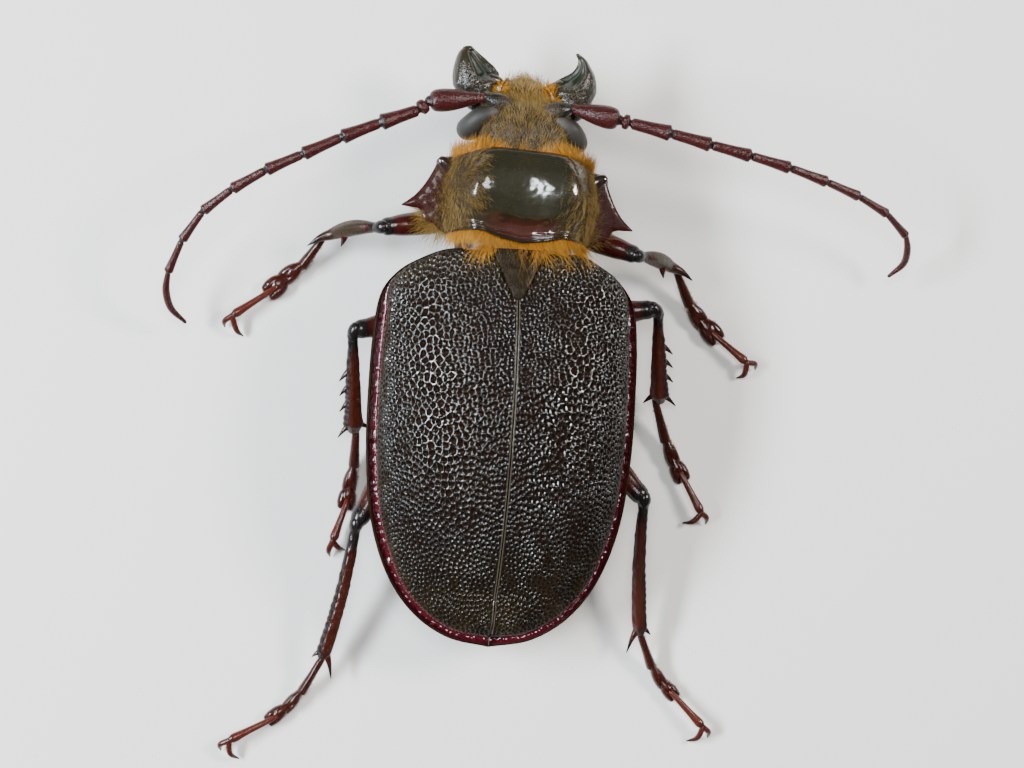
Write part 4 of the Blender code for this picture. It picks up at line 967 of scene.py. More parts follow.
legs = {
    "hips": {
        "fore": [
            (0.9, 3.0, 3.05, 0.8, 0.8), (2.2, 2.9, 3.0, 1.0, 0.95), (3.3, 2.75, 3.15, 0.8, 0.8),
        ],
        "mid": [
            (1.2, -3.8, 3.0, 0.8, 0.8), (2.6, -3.95, 2.95, 1.0, 0.95), (3.8, -4.1, 3.1, 0.8, 0.8),
        ],
        "hind": [
            (0.9, -10.1, 2.9, 0.7, 0.75), (3.0, -10.2, 2.8, 1.0, 0.9), (4.9, -10.5, 2.95, 0.7, 0.7),
        ],
    },
    "fore_left": {
        "knee": (-9.1, 1.7, 5.8), "ankle": (-12.78, 0.97, 2.2),
        "toes": [(-14.15, -1.05, 0.9), (-15.3, -1.96, 0.5), (-16.24, -2.94, 0.5)],
        "clawBase": (-18.94, -4.9, 1.1),
        "claws": [
            [(-18.62, -5.95, 0.75), (-18.12, -6.33, 0.3)],
            [(-19.5, -5.35, 0.7), (-19.45, -5.75, 0.28)],
        ],
    },
    "mid_left": {
        "knee": (-10.56, -5.58, 5.2), "ankle": (-9.86, -12.46, 2.0), "shinAside": 0.15,
        "toes": [(-9.77, -15.13, 0.9), (-10.01, -16.73, 0.5), (-10.16, -17.88, 0.5)],
        "clawBase": (-11.0, -20.54, 1.1),
        "claws": [
            [(-10.55, -21.1, 0.75), (-10.04, -21.26, 0.28)],
            [(-11.25, -21.3, 0.75), (-11.1, -21.75, 0.28)],
        ],
    },
    "hind_left": {
        "knee": (-9.68, -19.15, 4.4), "ankle": (-11.35, -28.76, 1.9),
        "toes": [(-12.63, -31.41, 0.9), (-13.55, -32.56, 0.5), (-14.64, -33.45, 0.5)],
        "clawBase": (-17.58, -35.05, 1.1),
        "claws": [
            [(-17.5, -36.05, 0.75), (-16.85, -36.45, 0.28)],
            [(-18.25, -35.45, 0.75), (-18.15, -35.9, 0.28)],
        ],
    },
    "fore_right": {
        "knee": (9.16, 0.74, 5.8), "ankle": (12.58, 0.09, 2.2),
        "toes": [(14.0, -2.25, 0.9), (14.97, -3.43, 0.5), (16.06, -4.46, 0.5)],
        "clawBase": (18.41, -6.24, 1.1),
        "claws": [
            [(18.4, -7.15, 0.75), (17.95, -7.45, 0.28)],
            [(19.15, -6.35, 0.75), (19.3, -6.75, 0.28)],
        ],
    },
    "mid_right": {
        "knee": (10.62, -2.92, 5.2), "ankle": (11.64, -9.29, 2.0), "shinAside": 0.3,
        "toes": [(12.75, -12.22, 0.9), (13.49, -13.65, 0.5), (14.15, -14.78, 0.5)],
        "clawBase": (15.64, -17.31, 1.1),
        "claws": [
            [(15.15, -18.05, 0.75), (14.5, -18.2, 0.28)],
            [(16.15, -17.75, 0.75), (16.2, -18.2, 0.28)],
        ],
    },
    "hind_right": {
        "knee": (10.72, -16.49, 4.6), "ankle": (11.44, -26.14, 1.9),
        "toes": [(12.57, -28.65, 0.9), (13.45, -29.82, 0.5), (14.31, -30.66, 0.5)],
        "clawBase": (16.53, -32.84, 1.1),
        "claws": [
            [(16.3, -33.75, 0.75), (15.62, -34.06, 0.28)],
            [(17.1, -33.3, 0.75), (17.15, -33.75, 0.28)],
        ],
    },
    # How each pair differs: half widths, how far the shin starts from the knee and bows outward, its
    # hazy top, red flush, saw edge and dark outer side, and how high its spines start.
    "pairs": {
        "fore": {
            "femur": 0.74, "tibia": 0.58, "toe": 0.42, "lobes": (0.62, 0.78),
            "kneeRoom": 0.3, "bow": 0.25,
            "grain": 0.01, "haze": 0.75, "flush": 0.0, "saw": 0.0, "darkSide": 0.0, "spineRise": 0.15,
        },
        "mid": {
            "femur": 0.78, "tibia": 0.56, "toe": 0.4, "lobes": (0.52, 0.66),
            "kneeRoom": 0.4, "bow": 0.0,
            "grain": 0.03, "haze": 0.2, "flush": 0.2, "saw": 0.1, "darkSide": 0.85, "spineRise": -0.05,
        },
        "hind": {
            "femur": 0.8, "tibia": 0.6, "toe": 0.36, "lobes": (0.45, 0.55),
            "kneeRoom": 0.25, "bow": -0.22,
            "grain": 0.03, "haze": 0.2, "flush": 0.1, "saw": 0.1, "darkSide": 0.85, "spineRise": -0.05,
        },
    },
    "femur": [
        (0.0, 0.5), (0.12, 0.85), (0.4, 1.15), (0.72, 1.08), (0.87, 0.9), (0.95, 0.86), (1.0, 0.62),
    ],
    "tibia": {
        "fore": [
            (0.0, 0.7), (0.1, 0.66), (0.3, 0.9), (0.5, 1.0), (0.7, 0.92), (0.88, 0.7), (1.0, 0.5),
        ],
        "mid": [
            (0.0, 0.75), (0.1, 0.66), (0.3, 0.8), (0.5, 0.92), (0.8, 1.08), (0.94, 1.25),
            (1.0, 0.9),
        ],
        "hind": [
            (0.0, 0.75), (0.07, 0.64), (0.25, 0.72), (0.5, 0.78), (0.8, 0.86), (0.95, 0.86),
            (1.0, 0.62),
        ],
    },
    "spines": {
        "fore": [(0.88, 1.8, -0.45, -0.35), (0.64, 0.4, -0.85, -0.5)],
        "mid": [
            (0.38, 0.9, 1.0, -0.3), (0.53, 0.9, 1.0, -0.3), (0.69, 0.9, 1.0, -0.3),
            (0.92, 1.15, 1.15, -0.3), (0.92, 0.7, -1.2, -0.2),
        ],
        "hind": [(0.95, 0.7, 0.75, -0.1), (0.93, 2.15, -0.95, -0.5)],
    },
    "toeMiddle": [
        (0.0, 0.32, 0.24), (0.15, 0.36, 0.3), (0.36, 0.62, 0.4), (0.65, 0.85, 0.5),
        (0.9, 0.7, 0.42),
        (0.98, 0.45, 0.25),
    ],
    "lobe": [
        (0.35, 0.2, 0.36, 0.32), (0.65, 0.42, 0.52, 0.42), (0.95, 0.5, 0.52, 0.42),
        (1.12, 0.52, 0.42, 0.3),
    ],
    "pad": [(0.1, 0.5), (0.6, 0.95), (1.1, 0.9)],
    "lastToe": 0.27,
    "claw": 0.22,
    "floorGap": 0.01,
}


def makeThigh(which, side, pose, pair):
    hips = mirrored(legs["hips"][which], side)
    hip = tubeRings(hips, 28, 0.12)[0]
    route = (hips[-1][:3], pose["knee"])
    rings, shares, angles = straightLimb(*route, legs["femur"], pair["femur"], 0.95, 30, 0.09)
    return [loft(hip, {"dark": 0.3}), loft(rings, {"dark": ease(shares, 0.84, 0.93)})]


def makeShin(which, side, pose, pair):
    knee, ankle = np.array(pose["knee"]), np.array(pose["ankle"])
    along, thick = unit(ankle - knee), pair["tibia"]
    aside = unit(np.cross(along, (0, 0, 1)))
    outer = 1 if aside[0] * sides[side] > 0 else -1
    outward = aside * outer
    shift = outward * pose.get("shinAside", 0)
    start = knee + along * pair["kneeRoom"] + shift

    def ridges(shares, angles):  # lengthwise ridges, and a saw edge along the outer side
        saw = pair["saw"] * np.abs(np.sin(shares * 46 + 2 * np.sin(shares * 9)))
        saw = saw * ease(outer * np.cos(angles), 0.6, 0.9) * ease(shares, 0.2, 0.35)
        return 1 + 0.05 * np.cos(angles * 5) * ease(shares, 0.1, 0.3) + saw

    bow = outward * pair["bow"]
    rings, shares, angles = straightLimb(
        start, ankle + shift, legs["tibia"][which], thick, 0.85, 36, 0.07, bow, shape=ridges
    )
    haze = ease(np.sin(angles), 0.1, 0.8) * pair["haze"] * ease(shares, 0.1, 0.3)
    dark = ease(shares, 0.22, 0.08) + 0.5 * ease(shares, 0.93, 1.0)
    dark = np.clip(dark + pair["darkSide"] * ease(outer * np.cos(angles), 0.25, 0.75), 0, 1)
    bright = pair["flush"] * ease(shares, 0.2, 0.45)
    rings = roughened(rings, [(pair["grain"], 0.3, 41)])
    shapes = [loft(rings, {"haze": haze, "dark": dark, "bright": bright})]
    neck = []
    for far, wide in ((-0.12, 0.84), (0.2, 0.82), (pair["kneeRoom"] + 0.25, 0.62)):
        place = knee + shift * min(1, far / 0.3) + along * far
        neck.append((*place, thick * wide, thick * wide))
    shapes.append(loft(tubeRings(neck, 20, 0.1)[0], {"dark": 1}))
    level = np.cross((0, 0, 1), aside)
    for share, ahead, out, up in legs["spines"][which]:
        root = knee + (ankle - knee) * share + shift + (0, 0, pair["spineRise"])
        tip = root + level * ahead + outward * out + (0, 0, up)
        blade = which == "fore" and ahead > 1  # the blade of the shin runs out into its spine
        way = outward * np.sign(out)
        bend = (root + tip) / 2 + way * (-0.16 if blade else 0.06)
        if blade:
            first, second = (knee + (ankle - knee) * place + outward * 0.24 for place in (0.45, 0.7))
            third = root + outward * 0.1
            stations = [(*first, 0.4, 0.3), (*second, 0.46, 0.38), (*third, 0.42, 0.36)]
            stations += [(*bend, 0.25, 0.2), (*tip, 0.03, 0.03)]
        else:
            stations = [(*(root - way * 0.1), 0.42, 0.28), (*bend, 0.19, 0.18), (*tip, 0.035, 0.035)]
        rings, shares, angles = tubeRings(stations, 16, 0.08)
        haze = 0.65 * ease(shares, 0.9, 0.5) * ease(np.sin(angles), 0.1, 0.8) if blade else 0
        shapes.append(loft(rings, {"dark": ease(shares, 0.6 if blade else 0.3, 0.9), "haze": haze}))
    return shapes, along


def onFloor(rings):  # flattens what would sink into the floor
    rings[..., 2] = np.maximum(rings[..., 2], legs["floorGap"])
    return rings


def lobedToe(root, tip, half):  # two round lobes that meet at the root
    along = tip - root
    aside = unit(np.cross(along, (0, 0, 1)))
    middle = [(*(root + along * share), wide * half, tall) for share, wide, tall in legs["toeMiddle"]]
    shapes = [loft(onFloor(tubeRings(middle, 28, 0.06)[0]))]
    for way in (-1, 1):
        stations = []
        for share, out, wide, tall in legs["lobe"]:
            place = root + along * share + aside * out * half * way
            stations.append((*place, wide * half, tall))
        rings, shares, angles = tubeRings(stations, 22, 0.06)
        shapes.append(loft(onFloor(rings), {"dark": ease(shares, 0.15, 0.0) * 0.6}))
    return shapes


footPatches = []  # where the pads under the toes grow hair


def makeFoot(pose, pair, along):
    first, second, third = (np.array(place) for place in pose["toes"])
    ankle, clawBase = np.array(pose["ankle"]), np.array(pose["clawBase"])
    start = ankle + along * pair["tibia"] * 0.2
    toe = pair["toe"]
    stations = [(*start, 0.24, 0.24), (*(start * 0.8 + first * 0.2), 0.28, 0.26)]
    stations += [(*(start * 0.5 + first * 0.5), toe * 0.8, 0.34), (*first, toe, 0.42)]
    stations.append((*(first + (first - start) * 0.05), toe * 0.7, 0.3))
    rings, shares, angles = tubeRings(stations, 28, 0.07)
    shapes = [loft(onFloor(rings), {"dark": ease(shares, 0.1, 0.0) * 0.8})]
    footPatches.append((rings[4:-3, 13:29], tuple(unit(first - start)), 0.6))
    roots = [first * 0.85 + start * 0.15, second * 0.7 + first * 0.3]
    for root, tip, half in zip(roots, (second, third), pair["lobes"]):
        pad = [(*(root + (tip - root) * share), wide * half, 0.3) for share, wide in legs["pad"]]
        footPatches.append((tubeRings(pad, 24, 0.1)[0][:, 11:25], tuple(unit(tip - root)), 1.0))
        shapes += lobedToe(root, tip, half)
    root = third * 0.55 + second * 0.45 + (0, 0, 0.15)
    top = third + (0, 0, 0.4)
    way = clawBase - top
    half = legs["lastToe"]
    stations = [(*root, 0.2, 0.2), (*top, 0.21, 0.21), (*(top + way * 0.6), half, 0.27)]
    stations += [(*(top + way * 0.9), half * 1.25, 0.3), (*clawBase, half * 0.85, 0.22)]
    rings, shares, angles = tubeRings(stations, 22, 0.08)
    shapes.append(loft(rings, {"dark": ease(shares, 0.9, 1.0) * 0.6, "bright": 0.8}))
    root = clawBase + unit(way) * 0.1
    for middle, tip in pose["claws"]:
        stations = [(*root, legs["claw"], legs["claw"]), (*middle, 0.2, 0.22), (*tip, 0.05, 0.05)]
        rings, shares, angles = tubeRings(stations, 16, 0.06)
        shapes.append(loft(rings, {"dark": ease(shares, 0.45, 1.0) * 0.8, "bright": 0.5}))
    return shapes


def makeLegs(legMaterial, footMaterial):
    for which, pair in legs["pairs"].items():
        for side in sides:
            pose = legs[f"{which}_{side}"]
            shin, along = makeShin(which, side, pose, pair)
            nodes = [f"{part}_{which}_{side}" for part in ("coxa", "femur", "tibia")]
            shapes = makeThigh(which, side, pose, pair) + shin
            pieceOf(f"{which}Leg{side.title()}", shapes, legMaterial, nodes)
            nodes = [f"tarsus_{which}_{side}", f"claws_{which}_{side}"]
            foot = makeFoot(pose, pair, along)
            pieceOf(f"{which}Foot{side.title()}", foot, footMaterial, nodes)


# Hind body under the wing cases

belly = {
    "low": [(-1.7, 3.2), (4.0, 2.6), (10.0, 2.4), (16.0, 2.8), (22.0, 3.6), (25.5, 4.4)],
    "neck": [(0, -3.0, 6.2, 4.3, 2.5), (0, 1.75, 6.2, 3.9, 2.5)],
    "from": -2.2,
    "split": -11.4,
    "to": -25.5,
    "plates": 5,
    "sideRoom": 2.0,
    "topDrop": 1.25,
    "plate": [(0.0, 0.2), (0.05, 0.08), (0.12, 0.0), (0.5, 0.0), (0.9, 0.0), (0.97, 0.05)],
}


def trunkRing(y, step):
    right = smoothRows(wing["edge"], 3)[6:]
    fall = max(0, (wing["seamBack"] - y) / (wing["seamBack"] - wing["edge"][-1][1]))
    half = np.interp(-y, -right[:, 1], right[:, 0]) - belly["sideRoom"] - step - 2.0 * fall
    sideZ = np.interp(-y, -right[:, 1], right[:, 2]) - 0.3
    low = softCurve(belly["low"], -y) + step
    top = sideZ + (np.interp(-y, *zip(*wing["seam"])) - belly["topDrop"] - sideZ) * (1 - fall) ** 0.85
    angle = 2 * math.pi * np.arange(72) / 72
    x, up = np.cos(angle), np.sin(angle)
    over = sideZ + (top - sideZ) * np.maximum(up, 0) ** wing["fullness"]
    under = low + (sideZ - low) * np.abs(x) ** 1.8
    return np.stack([half * x, np.full(72, y), np.where(up >= 0, over, under)], axis=-1)


def makeBelly(material):
    front = np.array([trunkRing(y, 0) for y in np.linspace(belly["from"], belly["split"], 40)])
    shapes = [loft(front), loft(tubeRings(belly["neck"], 48, 0.3, domes=(0.1, 0.1))[0])]
    length = (belly["split"] - belly["to"]) / belly["plates"]
    plates = range(belly["plates"])
    steps = [(number + share, step) for number in plates for share, step in belly["plate"]]
    shapes.append(loft([trunkRing(belly["split"] - length * place, step) for place, step in steps]))
    pieceOf("hindBody", shapes, material, ["pterothorax", "abdomen"], 50)


# Hair: tufts scattered over carriers by Geometry Nodes, then made plain meshes

coats = {
    "headHair": {
        "perMm2": 32.0, "length": 0.62, "hairs": 4, "spread": 0.24, "half": 0.0075, "stand": 50,
        "bend": 40, "steps": 4, "wild": 0.45, "seed": 61,
    },
    "lipHair": {
        "perMm2": 34.0, "length": 0.8, "hairs": 4, "spread": 0.2, "half": 0.01, "stand": 45, "bend": 50,
        "steps": 4, "wild": 0.6, "seed": 66, "orange": 0.1, "pale": 0.3,
    },
    "sideHair": {
        "perMm2": 26.0, "length": 0.5, "hairs": 3, "spread": 0.3, "half": 0.0065, "stand": 66,
        "bend": 24, "steps": 3, "wild": 0.5, "seed": 62,
    },
    "neckFringe": {
        "perMm2": 110.0, "length": 1.1, "hairs": 6, "spread": 0.24, "half": 0.009, "stand": 32,
        "bend": 26, "steps": 3, "wild": 0.3, "seed": 63, "orange": 0.9,
    },
    "rearFringe": {
        "perMm2": 54.0, "length": 2.05, "hairs": 7, "spread": 0.2, "half": 0.0095, "stand": 42,
        "bend": 42, "steps": 4, "wild": 0.3, "seed": 64, "orange": 0.85,
    },
    "hipTufts": {
        "perMm2": 50.0, "length": 1.9, "hairs": 5, "spread": 0.25, "half": 0.011, "stand": 10,
        "bend": 35, "steps": 4, "wild": 0.5, "seed": 65, "orange": 0.2, "pale": 0.55,
    },
    "jawTufts": {
        "perMm2": 70.0, "length": 0.6, "hairs": 5, "spread": 0.14, "half": 0.012, "stand": 15,
        "bend": 30, "steps": 3, "wild": 0.5, "seed": 67, "orange": 1.0,
    },
    "padHair": {
        "perMm2": 20.0, "length": 0.52, "hairs": 4, "spread": 0.14, "half": 0.01, "stand": 10,
        "bend": 35, "steps": 3, "wild": 0.5, "seed": 68, "orange": 0.75,
    },
}
hairlines = {
    "frontStrip": [(0, 0.12, -0.55), (0, -0.05, -0.12)],  # how the strips lie off the shield's edges
    "rearStrip": [(0, -0.25, -0.55), (0, 0.0, -0.38), (0, 0.2, -0.3)],
    "frontHalf": 5.2,
    "rearHalf": 4.6,
    "collar": [(0.0, 10.7), (1.75, 10.4), (2.9, 9.7), (4.7, 8.9)],  # its height behind the shield
    "collarStrip": [(0, 0.25, -0.15), (0, -0.1, 0.0)],
    "longTufts": [(1.1, -2.1, 0.5), (0.9, 1.3, 0.4), (0.5, 2.9, 0.4), (0.4, 4.4, 0.4)],
    "faceHalf": 2.2,
    "hip": [(3.6, 2.9, 4.6, 1.2, 1.1), (5.2, 2.6, 4.6, 1.0, 1.0)],
    "jaw": [(2.1, 11.0, 6.0, 0.35, 0.5), (1.75, 11.9, 6.0, 0.3, 0.4)],
    "jawAside": (0.4, 0, 0, 0, 0),
}
patchSize = 0.003  # each tuft's patch on its coat's map


def tuftMesh(name, coat):
    # A few bent, tapered hairs of three sides from one root, growing up and leaning to +X.
    draw = np.random.default_rng(coat["seed"])
    points, faces, tips, spots = [], [], [], []
    steps = coat["steps"]
    for hair in range(coat["hairs"]):
        root = draw.normal(0, coat["spread"] * 0.5, 2)
        length = coat["length"] * draw.uniform(0.5, 1.15)
        lean = math.radians(coat["stand"] + draw.normal(0, 7))
        curl = math.radians(coat["bend"] * draw.uniform(0.5, 1.3))
        turn = draw.normal(0, 0.22)
        place = np.array([root[0], root[1], -0.04])
        base = len(points)
        for step in range(steps + 1):
            t = step / steps
            tilt = lean + curl * t
            way = [math.sin(tilt) * math.cos(turn), math.sin(tilt) * math.sin(turn), math.cos(tilt)]
            way = np.array(way)
            half = coat["half"] * (1 - t) ** 0.6 + 0.002
            side = np.array([-math.sin(turn), math.cos(turn), 0])
            other = np.cross(way, side)
            for corner in range(3):
                angle = 2 * math.pi * corner / 3
                points.append(place + (side * math.cos(angle) + other * math.sin(angle)) * half)
                tips.append(t)
                spots.append((0.5 + root[0] * 2, t))
            place = place + way * length / steps
        for low in range(base, base + steps * 3, 3):
            for corner in range(3):
                beside = (corner + 1) % 3
                faces.append((low + corner, low + beside, low + 3 + beside, low + 3 + corner))
        faces.append((base + 2, base + 1, base))
        top = base + steps * 3
        faces.append((top, top + 1, top + 2))
    mesh = bpy.data.meshes.new(name)
    mesh.from_pydata((np.array(points) * mm).tolist(), [], faces)
    setMark(mesh, "tip", tips)
    setMark(mesh, "tuftSpot", np.clip(np.array(spots, np.float32), 0, 1), "FLOAT2")
    return linked(name, mesh)


def socketNamed(sockets, name):
    return next(socket for socket in sockets if socket.name == name and socket.enabled)


def tuftTree(name, tuft, material):
    tree = bpy.data.node_groups.new(name, "GeometryNodeTree")
    inputs = {"Tufts per mm2": 50.0, "Smallest": 0.75, "Largest": 1.2, "Unruliness": 0.25}
    tree.interface.new_socket("Carrier", in_out="INPUT", socket_type="NodeSocketGeometry")
    for label, value in inputs.items():
        socket = tree.interface.new_socket(label, in_out="INPUT", socket_type="NodeSocketFloat")
        socket.default_value = value
    tree.interface.new_socket("Seed", in_out="INPUT", socket_type="NodeSocketInt")
    tree.interface.new_socket("Hair", in_out="OUTPUT", socket_type="NodeSocketGeometry")
    given = addNode(tree, "NodeGroupInput").outputs
    result = addNode(tree, "NodeGroupOutput").inputs

    def attribute(label, kind):
        node = addNode(tree, "GeometryNodeInputNamedAttribute", data_type=kind, Name=label)
        return socketNamed(node.outputs, "Attribute")

    def randomValue(kind, **bounds):
        node = addNode(tree, "FunctionNodeRandomValue", data_type=kind)
        for label, source in bounds.items():
            tree.links.new(source, socketNamed(node.inputs, label))
        return socketNamed(node.outputs, "Value")

    # Tufts stand on the carrier's normal and lean the way that it says, each a little off.
    ground = {"Mesh": given["Carrier"], "Seed": given["Seed"]}
    spread = addNode(tree, "GeometryNodeDistributePointsOnFaces", ground)
    perArea = scaled(tree, given["Tufts per mm2"], 1 / mm**2)
    density = multiplied(tree, perArea, attribute("growth", "FLOAT"))
    tree.links.new(density, socketNamed(spread.inputs, "Density"))
    axes = {0: spread.outputs["Normal"], 1: attribute("lie", "FLOAT_VECTOR")}
    aim = addNode(tree, "FunctionNodeAxesToRotation", axes, primary_axis="Z", secondary_axis="X")
    most = given["Unruliness"]
    wild = randomValue("FLOAT_VECTOR", Min=scaled(tree, most, -1), Max=most, Seed=given["Seed"])
    turns = {0: aim.outputs[0], 1: addNode(tree, "FunctionNodeEulerToRotation", {0: wild}).outputs[0]}
    rotate = addNode(tree, "FunctionNodeRotateRotation", turns, rotation_space="LOCAL")
    shape = addNode(tree, "GeometryNodeObjectInfo")
    shape.inputs["Object"].default_value = tuft
    place = addNode(tree, "GeometryNodeInstanceOnPoints", {
        "Points": spread.outputs["Points"],
        "Instance": shape.outputs["Geometry"],
        "Rotation": rotate.outputs[0],
        "Scale": randomValue("FLOAT", Min=given["Smallest"], Max=given["Largest"]),
    }).outputs[0]
    shaded = {"data_type": "FLOAT", "domain": "INSTANCE"}
    store = addNode(tree, "GeometryNodeStoreNamedAttribute", {"Geometry": place}, **shaded)
    store.inputs["Name"].default_value = "shade"
    tree.links.new(randomValue("FLOAT"), socketNamed(store.inputs, "Value"))
    real = addNode(tree, "GeometryNodeRealizeInstances", {0: store.outputs[0]})
    paint = addNode(tree, "GeometryNodeSetMaterial", {"Geometry": real.outputs[0]})
    paint.inputs["Material"].default_value = material
    tree.links.new(paint.outputs[0], result["Hair"])
    return tree


def carrierMesh(name, patches):
    # Patches are grids of points, with the lie and the growth there, each with its own map place.
    points, faces, lies, growths, spots, offset = [], [], [], [], [], 0
    rows = math.ceil(math.sqrt(len(patches)))
    for number, (grid, lie, growth) in enumerate(patches):
        count, across = grid.shape[:2]
        lie = np.broadcast_to(lie, grid.shape)
        growth = np.broadcast_to(growth, (count, across))
        if gridNormals(grid)[..., 2].mean() > 0:
            grid, lie, growth = grid[:, ::-1], lie[:, ::-1], growth[:, ::-1]
        index = np.arange(count * across).reshape(count, across) + offset
        corners = [index[:-1, :-1], index[:-1, 1:], index[1:, 1:], index[1:, :-1]]
        faces += np.stack(corners, axis=-1).reshape(-1, 4).tolist()
        points.append(grid.reshape(-1, 3))
        lies.append(lie.reshape(-1, 3))
        growths.append(growth.ravel())
        v, u = np.meshgrid(np.linspace(0, 1, count), np.linspace(0, 1, across), indexing="ij")
        corner = np.array([number % rows, number // rows])
        spots.append((corner + 0.02 + 0.95 * np.stack([u, v], axis=-1).reshape(-1, 2)) / rows)
        offset += count * across
    mesh = bpy.data.meshes.new(name)
    mesh.from_pydata((np.vstack(points) * mm + home).tolist(), [], faces)
    setMark(mesh, "lie", np.vstack(lies), "FLOAT_VECTOR")
    setMark(mesh, "growth", np.concatenate(growths))
    setMark(mesh, "rootSpot", np.vstack(spots), "FLOAT2")
    return linked(name, mesh)


def growCoat(name, patches, material):
    coat = coats[name]
    carrier, tuft = carrierMesh(name + "Carrier", patches), tuftMesh(name + "Tuft", coat)
    tree = tuftTree(name, tuft, material)
    modifier = carrier.modifiers.new("tufts", "NODES")
    modifier.node_group = tree
    items = tree.interface.items_tree
    sockets = {item.name: item.identifier for item in items if item.in_out == "INPUT"}
    for label, key in (("Tufts per mm2", "perMm2"), ("Unruliness", "wild"), ("Seed", "seed")):
        modifier[sockets[label]] = coat[key]
    bpy.context.view_layer.update()
    grown = carrier.evaluated_get(bpy.context.evaluated_depsgraph_get())
    mesh = bpy.data.meshes.new_from_object(grown)
    mesh.name = name
    roots, spots = (np.empty(len(mesh.vertices) * 2, np.float32) for _ in range(2))
    mesh.attributes["rootSpot"].data.foreach_get("vector", roots)
    mesh.attributes["tuftSpot"].data.foreach_get("vector", spots)
    places = (roots + (spots - 0.5) * patchSize).reshape(-1, 2)
    corners = np.empty(len(mesh.loops), np.int32)
    mesh.loops.foreach_get("vertex_index", corners)
    for spare in ("rootSpot", "tuftSpot", "lie", "growth"):
        if spare in mesh.attributes:
            mesh.attributes.remove(mesh.attributes[spare])
    mesh.uv_layers.new(name="OFBake").data.foreach_set("uv", places[corners].ravel())
    for hue in ("orange", "pale"):
        setMark(mesh, hue, np.full(len(mesh.vertices), coat.get(hue, 0)))
    piece = linked(name, mesh)
    bpy.data.objects.remove(carrier)
    bpy.data.objects.remove(tuft)
    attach(piece, "root")
    print("grew", name, sum(max(1, polygon.loop_total - 2) for polygon in mesh.polygons), "triangles")


def lieOf(aside, ahead):  # the way that hair lies at each point of a grid
    return np.stack(np.broadcast_arrays(aside, ahead, 0.0), axis=-1)


def shieldLine(edge, half, share):  # points along the front or rear edge of the fore shield
    allX, x = (np.linspace(-reach, reach, 80) for reach in (hairlines["frontHalf"], half))
    y = np.interp(x, allX, softCurve(shield[edge], np.abs(allX)))
    return np.stack([x, y, shieldTop(x, np.full(80, share))[0]], axis=-1)


def edgeStrip(line, offsets):  # a narrow patch along a line of the fore shield's edge
    return turned(np.stack([line + offset for offset in offsets]), shield["at"], shield["yaw"])


def growHead(material):
    upper = skullRings(60, 120)[:, 2:59]
    x, y = upper[..., 0], upper[..., 1]
    lie = lieOf(x * 0.12 + 0.6 * softNoise(upper, 1.1, 51), 1.0)
    growth = ease(y, -1.7, -1.2) * ease(np.abs(x), 3.2, 2.7) * (0.7 + 0.5 * ease(y, 1.0, 2.0))
    growCoat("headHair", [(headPlaced(upper), lie, growth)], material)

    lip = tubeRings(head["upperLip"], 40, 0.12)[0][:, 1:20]
    x = np.linspace(-hairlines["faceHalf"], hairlines["faceHalf"], 30)
    face = [(x, 2.35 + 0.3 * t, 6.9 - 1.1 * t) for t in (0, 0.5, 1)]
    face = [np.stack(np.broadcast_arrays(*places), axis=-1) for places in face]
    patches = [(headPlaced(lip), lieOf(0.8 * softNoise(lip, 0.7, 54), 1.0), 1.0)]
    patches.append((headPlaced(np.stack(face)), (0.0, 1.0, 0.3), 1.0))
    growCoat("lipHair", patches, material)


def growShieldSides(material):  # and thinly on the scutellum
    share, u, over, plate = shieldGrid(90, 120)
    x = over[..., 0]
    lie = lieOf(
        -np.sign(x) * 0.7 + 0.6 * softNoise(over, 1.6, 52),
        -0.6 + 0.9 * softNoise(over, 1.6, 53),
    )
    growth = 1.5 * ease(np.abs(x), 2.2, 4.2) * ease(np.abs(x), 6.4, 5.4) * ease(share, 0.04, 0.1)
    growth = growth * (1 - 0.6 * bell(share, 0.2, 0.1) * ease(np.abs(x), 4.6, 3.8))
    plate = scutellumGrid(20, 13)
    patches = [(turned(over, shield["at"], shield["yaw"]), lie, growth)]
    patches.append((plate, (0.0, -1.0, 0.0), ease(plate[..., 1], -2.9, -2.0) * 0.18))
    growCoat("sideHair", patches, material)


def growFringes(material):
    front = edgeStrip(shieldLine("front", hairlines["frontHalf"], 1.0), hairlines["frontStrip"])
    rearLine = shieldLine("rear", hairlines["rearHalf"], 0.0)
    rear = edgeStrip(rearLine, hairlines["rearStrip"])
    lie = lieOf(0.5 * softNoise(rear, 0.8, 55), -1.0)
    growCoat("neckFringe", [(front, (0.0, 1.0, 0.25), 1.0), (rear, lie, 0.8)], material)

    x = rearLine[:, 0]
    height = np.interp(np.abs(x), *zip(*hairlines["collar"]))
    collar = np.stack(np.broadcast_arrays(x, 0.42, height), axis=-1)
    collar = np.stack([collar + offset for offset in hairlines["collarStrip"]])
    tufts = sum(strength * bell(x, middle, wide) for strength, middle, wide in hairlines["longTufts"])
    patches = [(rear, lie, (0.12 + 0.8 * tufts)[None]), (collar, lie[:2], (0.06 + 0.9 * tufts)[None])]
    growCoat("rearFringe", patches, material)


def growTufts(material):  # behind the fore hips, inside the jaws and under the toes
    hips, jawPatches = [], []
    for side, way in sides.items():
        hip = tubeRings(mirrored(hairlines["hip"], side), 28, 0.15)[0]
        hips.append((hip[:, 2:13], (way * 1.0, -0.4, 0.3), 1.0))
        jaw = tubeRings(mirrored(hairlines["jaw"], side) + hairlines["jawAside"], 20, 0.1)[0]
        jawPatches.append((jaw[:, 1:10], (-way * 0.4, 1.0, 0.2), 1.0))
    growCoat("hipTufts", hips, material)
    growCoat("jawTufts", jawPatches, material)
    growCoat("padHair", footPatches, material)


# Floor, light and camera

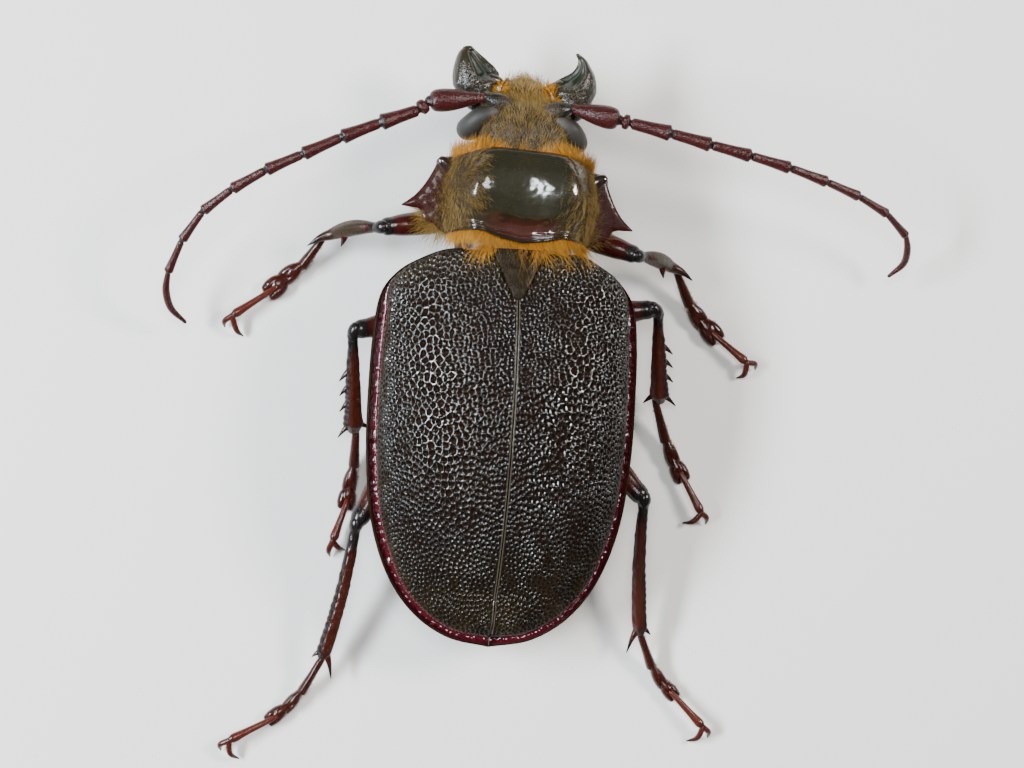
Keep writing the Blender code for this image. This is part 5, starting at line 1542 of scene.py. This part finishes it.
studio = {"floorReach": 0.6, "worldColour": (1.0, 0.94, 0.84, 1), "worldStrength": 0.1}
lights = {
    "windowLight": {
        "at": (-48, 48, 293), "wide": 88, "high": 88, "power": 0.58, "colour": (0.93, 0.97, 1.0),
    },
    "sideLight": {
        "at": (-228, 2, 186), "wide": 160, "high": 48, "power": 2.3, "colour": (0.85, 0.92, 1.0),
    },
    "fillLight": {
        "at": (205, 84, 200), "wide": 76, "high": 60, "power": 0.9, "colour": (1.0, 0.96, 0.92),
    },
}
camera = {
    "aim": (0.50, -8.79, 6.8),
    "forward": (0.13898, 0.00728, -0.99027),
    "up": (-0.05234, 0.99863, 0.0),
    "distance": 200.0,
    "lens": 100.45,
    "sensor": 36.0,
}


def makeStage():
    reach = studio["floorReach"]
    floor = bpy.data.meshes.new("floor")
    corners = [(-reach, -reach, 0), (reach, -reach, 0), (reach, reach, 0), (-reach, reach, 0)]
    floor.from_pydata(corners, [], [(0, 1, 2, 3)])
    floor.materials.append(makeFinish("paleFloor"))
    linked("floor", floor)
    world = bpy.context.scene.world or bpy.data.worlds.new("studio")
    bpy.context.scene.world = world
    world.use_nodes = True
    background = world.node_tree.nodes["Background"].inputs
    background["Color"].default_value = studio["worldColour"]
    background["Strength"].default_value = studio["worldStrength"]


def makeLights():
    for name, light in lights.items():
        lamp = bpy.data.lights.new(name, "AREA")
        lamp.shape = "RECTANGLE"
        lamp.size, lamp.size_y = light["wide"] * mm, light["high"] * mm
        lamp.energy = light["power"]
        lamp.color = light["colour"]
        made = linked(name, lamp)
        made.location = np.array(light["at"]) * mm
        made.rotation_euler = (-made.location).to_track_quat("-Z", "Y").to_euler()


def makeCamera():
    forward = Vector(camera["forward"]).normalized()
    right = forward.cross(Vector(camera["up"])).normalized()
    up = right.cross(forward)
    lens = bpy.data.cameras.new("camera")
    lens.lens, lens.sensor_width, lens.clip_start = camera["lens"], camera["sensor"], 0.01
    made = linked("camera", lens)
    place = Vector(np.array(camera["aim"]) * mm + home) - forward * camera["distance"] * mm
    made.matrix_world = Matrix.Translation(place) @ Matrix((right, up, -forward)).transposed().to_4x4()
    bpy.context.scene.camera = made


makeCamera()
makeLights()
makeStage()
print("floor, lights and camera set")
wingMaterial = makeFinish("wingCaseCuticle")
for wingSide in sides:
    makeWingCase(wingSide, wingMaterial)
makeScutellum(makeFinish("scutellumCuticle"))
makeForeShield(makeFinish("foreShieldCuticle"))
makeHead(makeFinish("headCuticle"))
makeEyes(makeFinish("eyeFacets"))
makeMouth(makeFinish("mouthHorn"))
makeJaws(makeFinish("jawHorn"))
makeFeelers(makeFinish("feelerHorn"))
makeLegs(makeFinish("legHorn"), makeFinish("toeHorn"))
makeBelly(makeFinish("bellyHorn"))
hairMaterial = makeFinish("hairStrands")
for grow in (growHead, growShieldSides, growFringes, growTufts):
    grow(hairMaterial)
print("all pieces made")
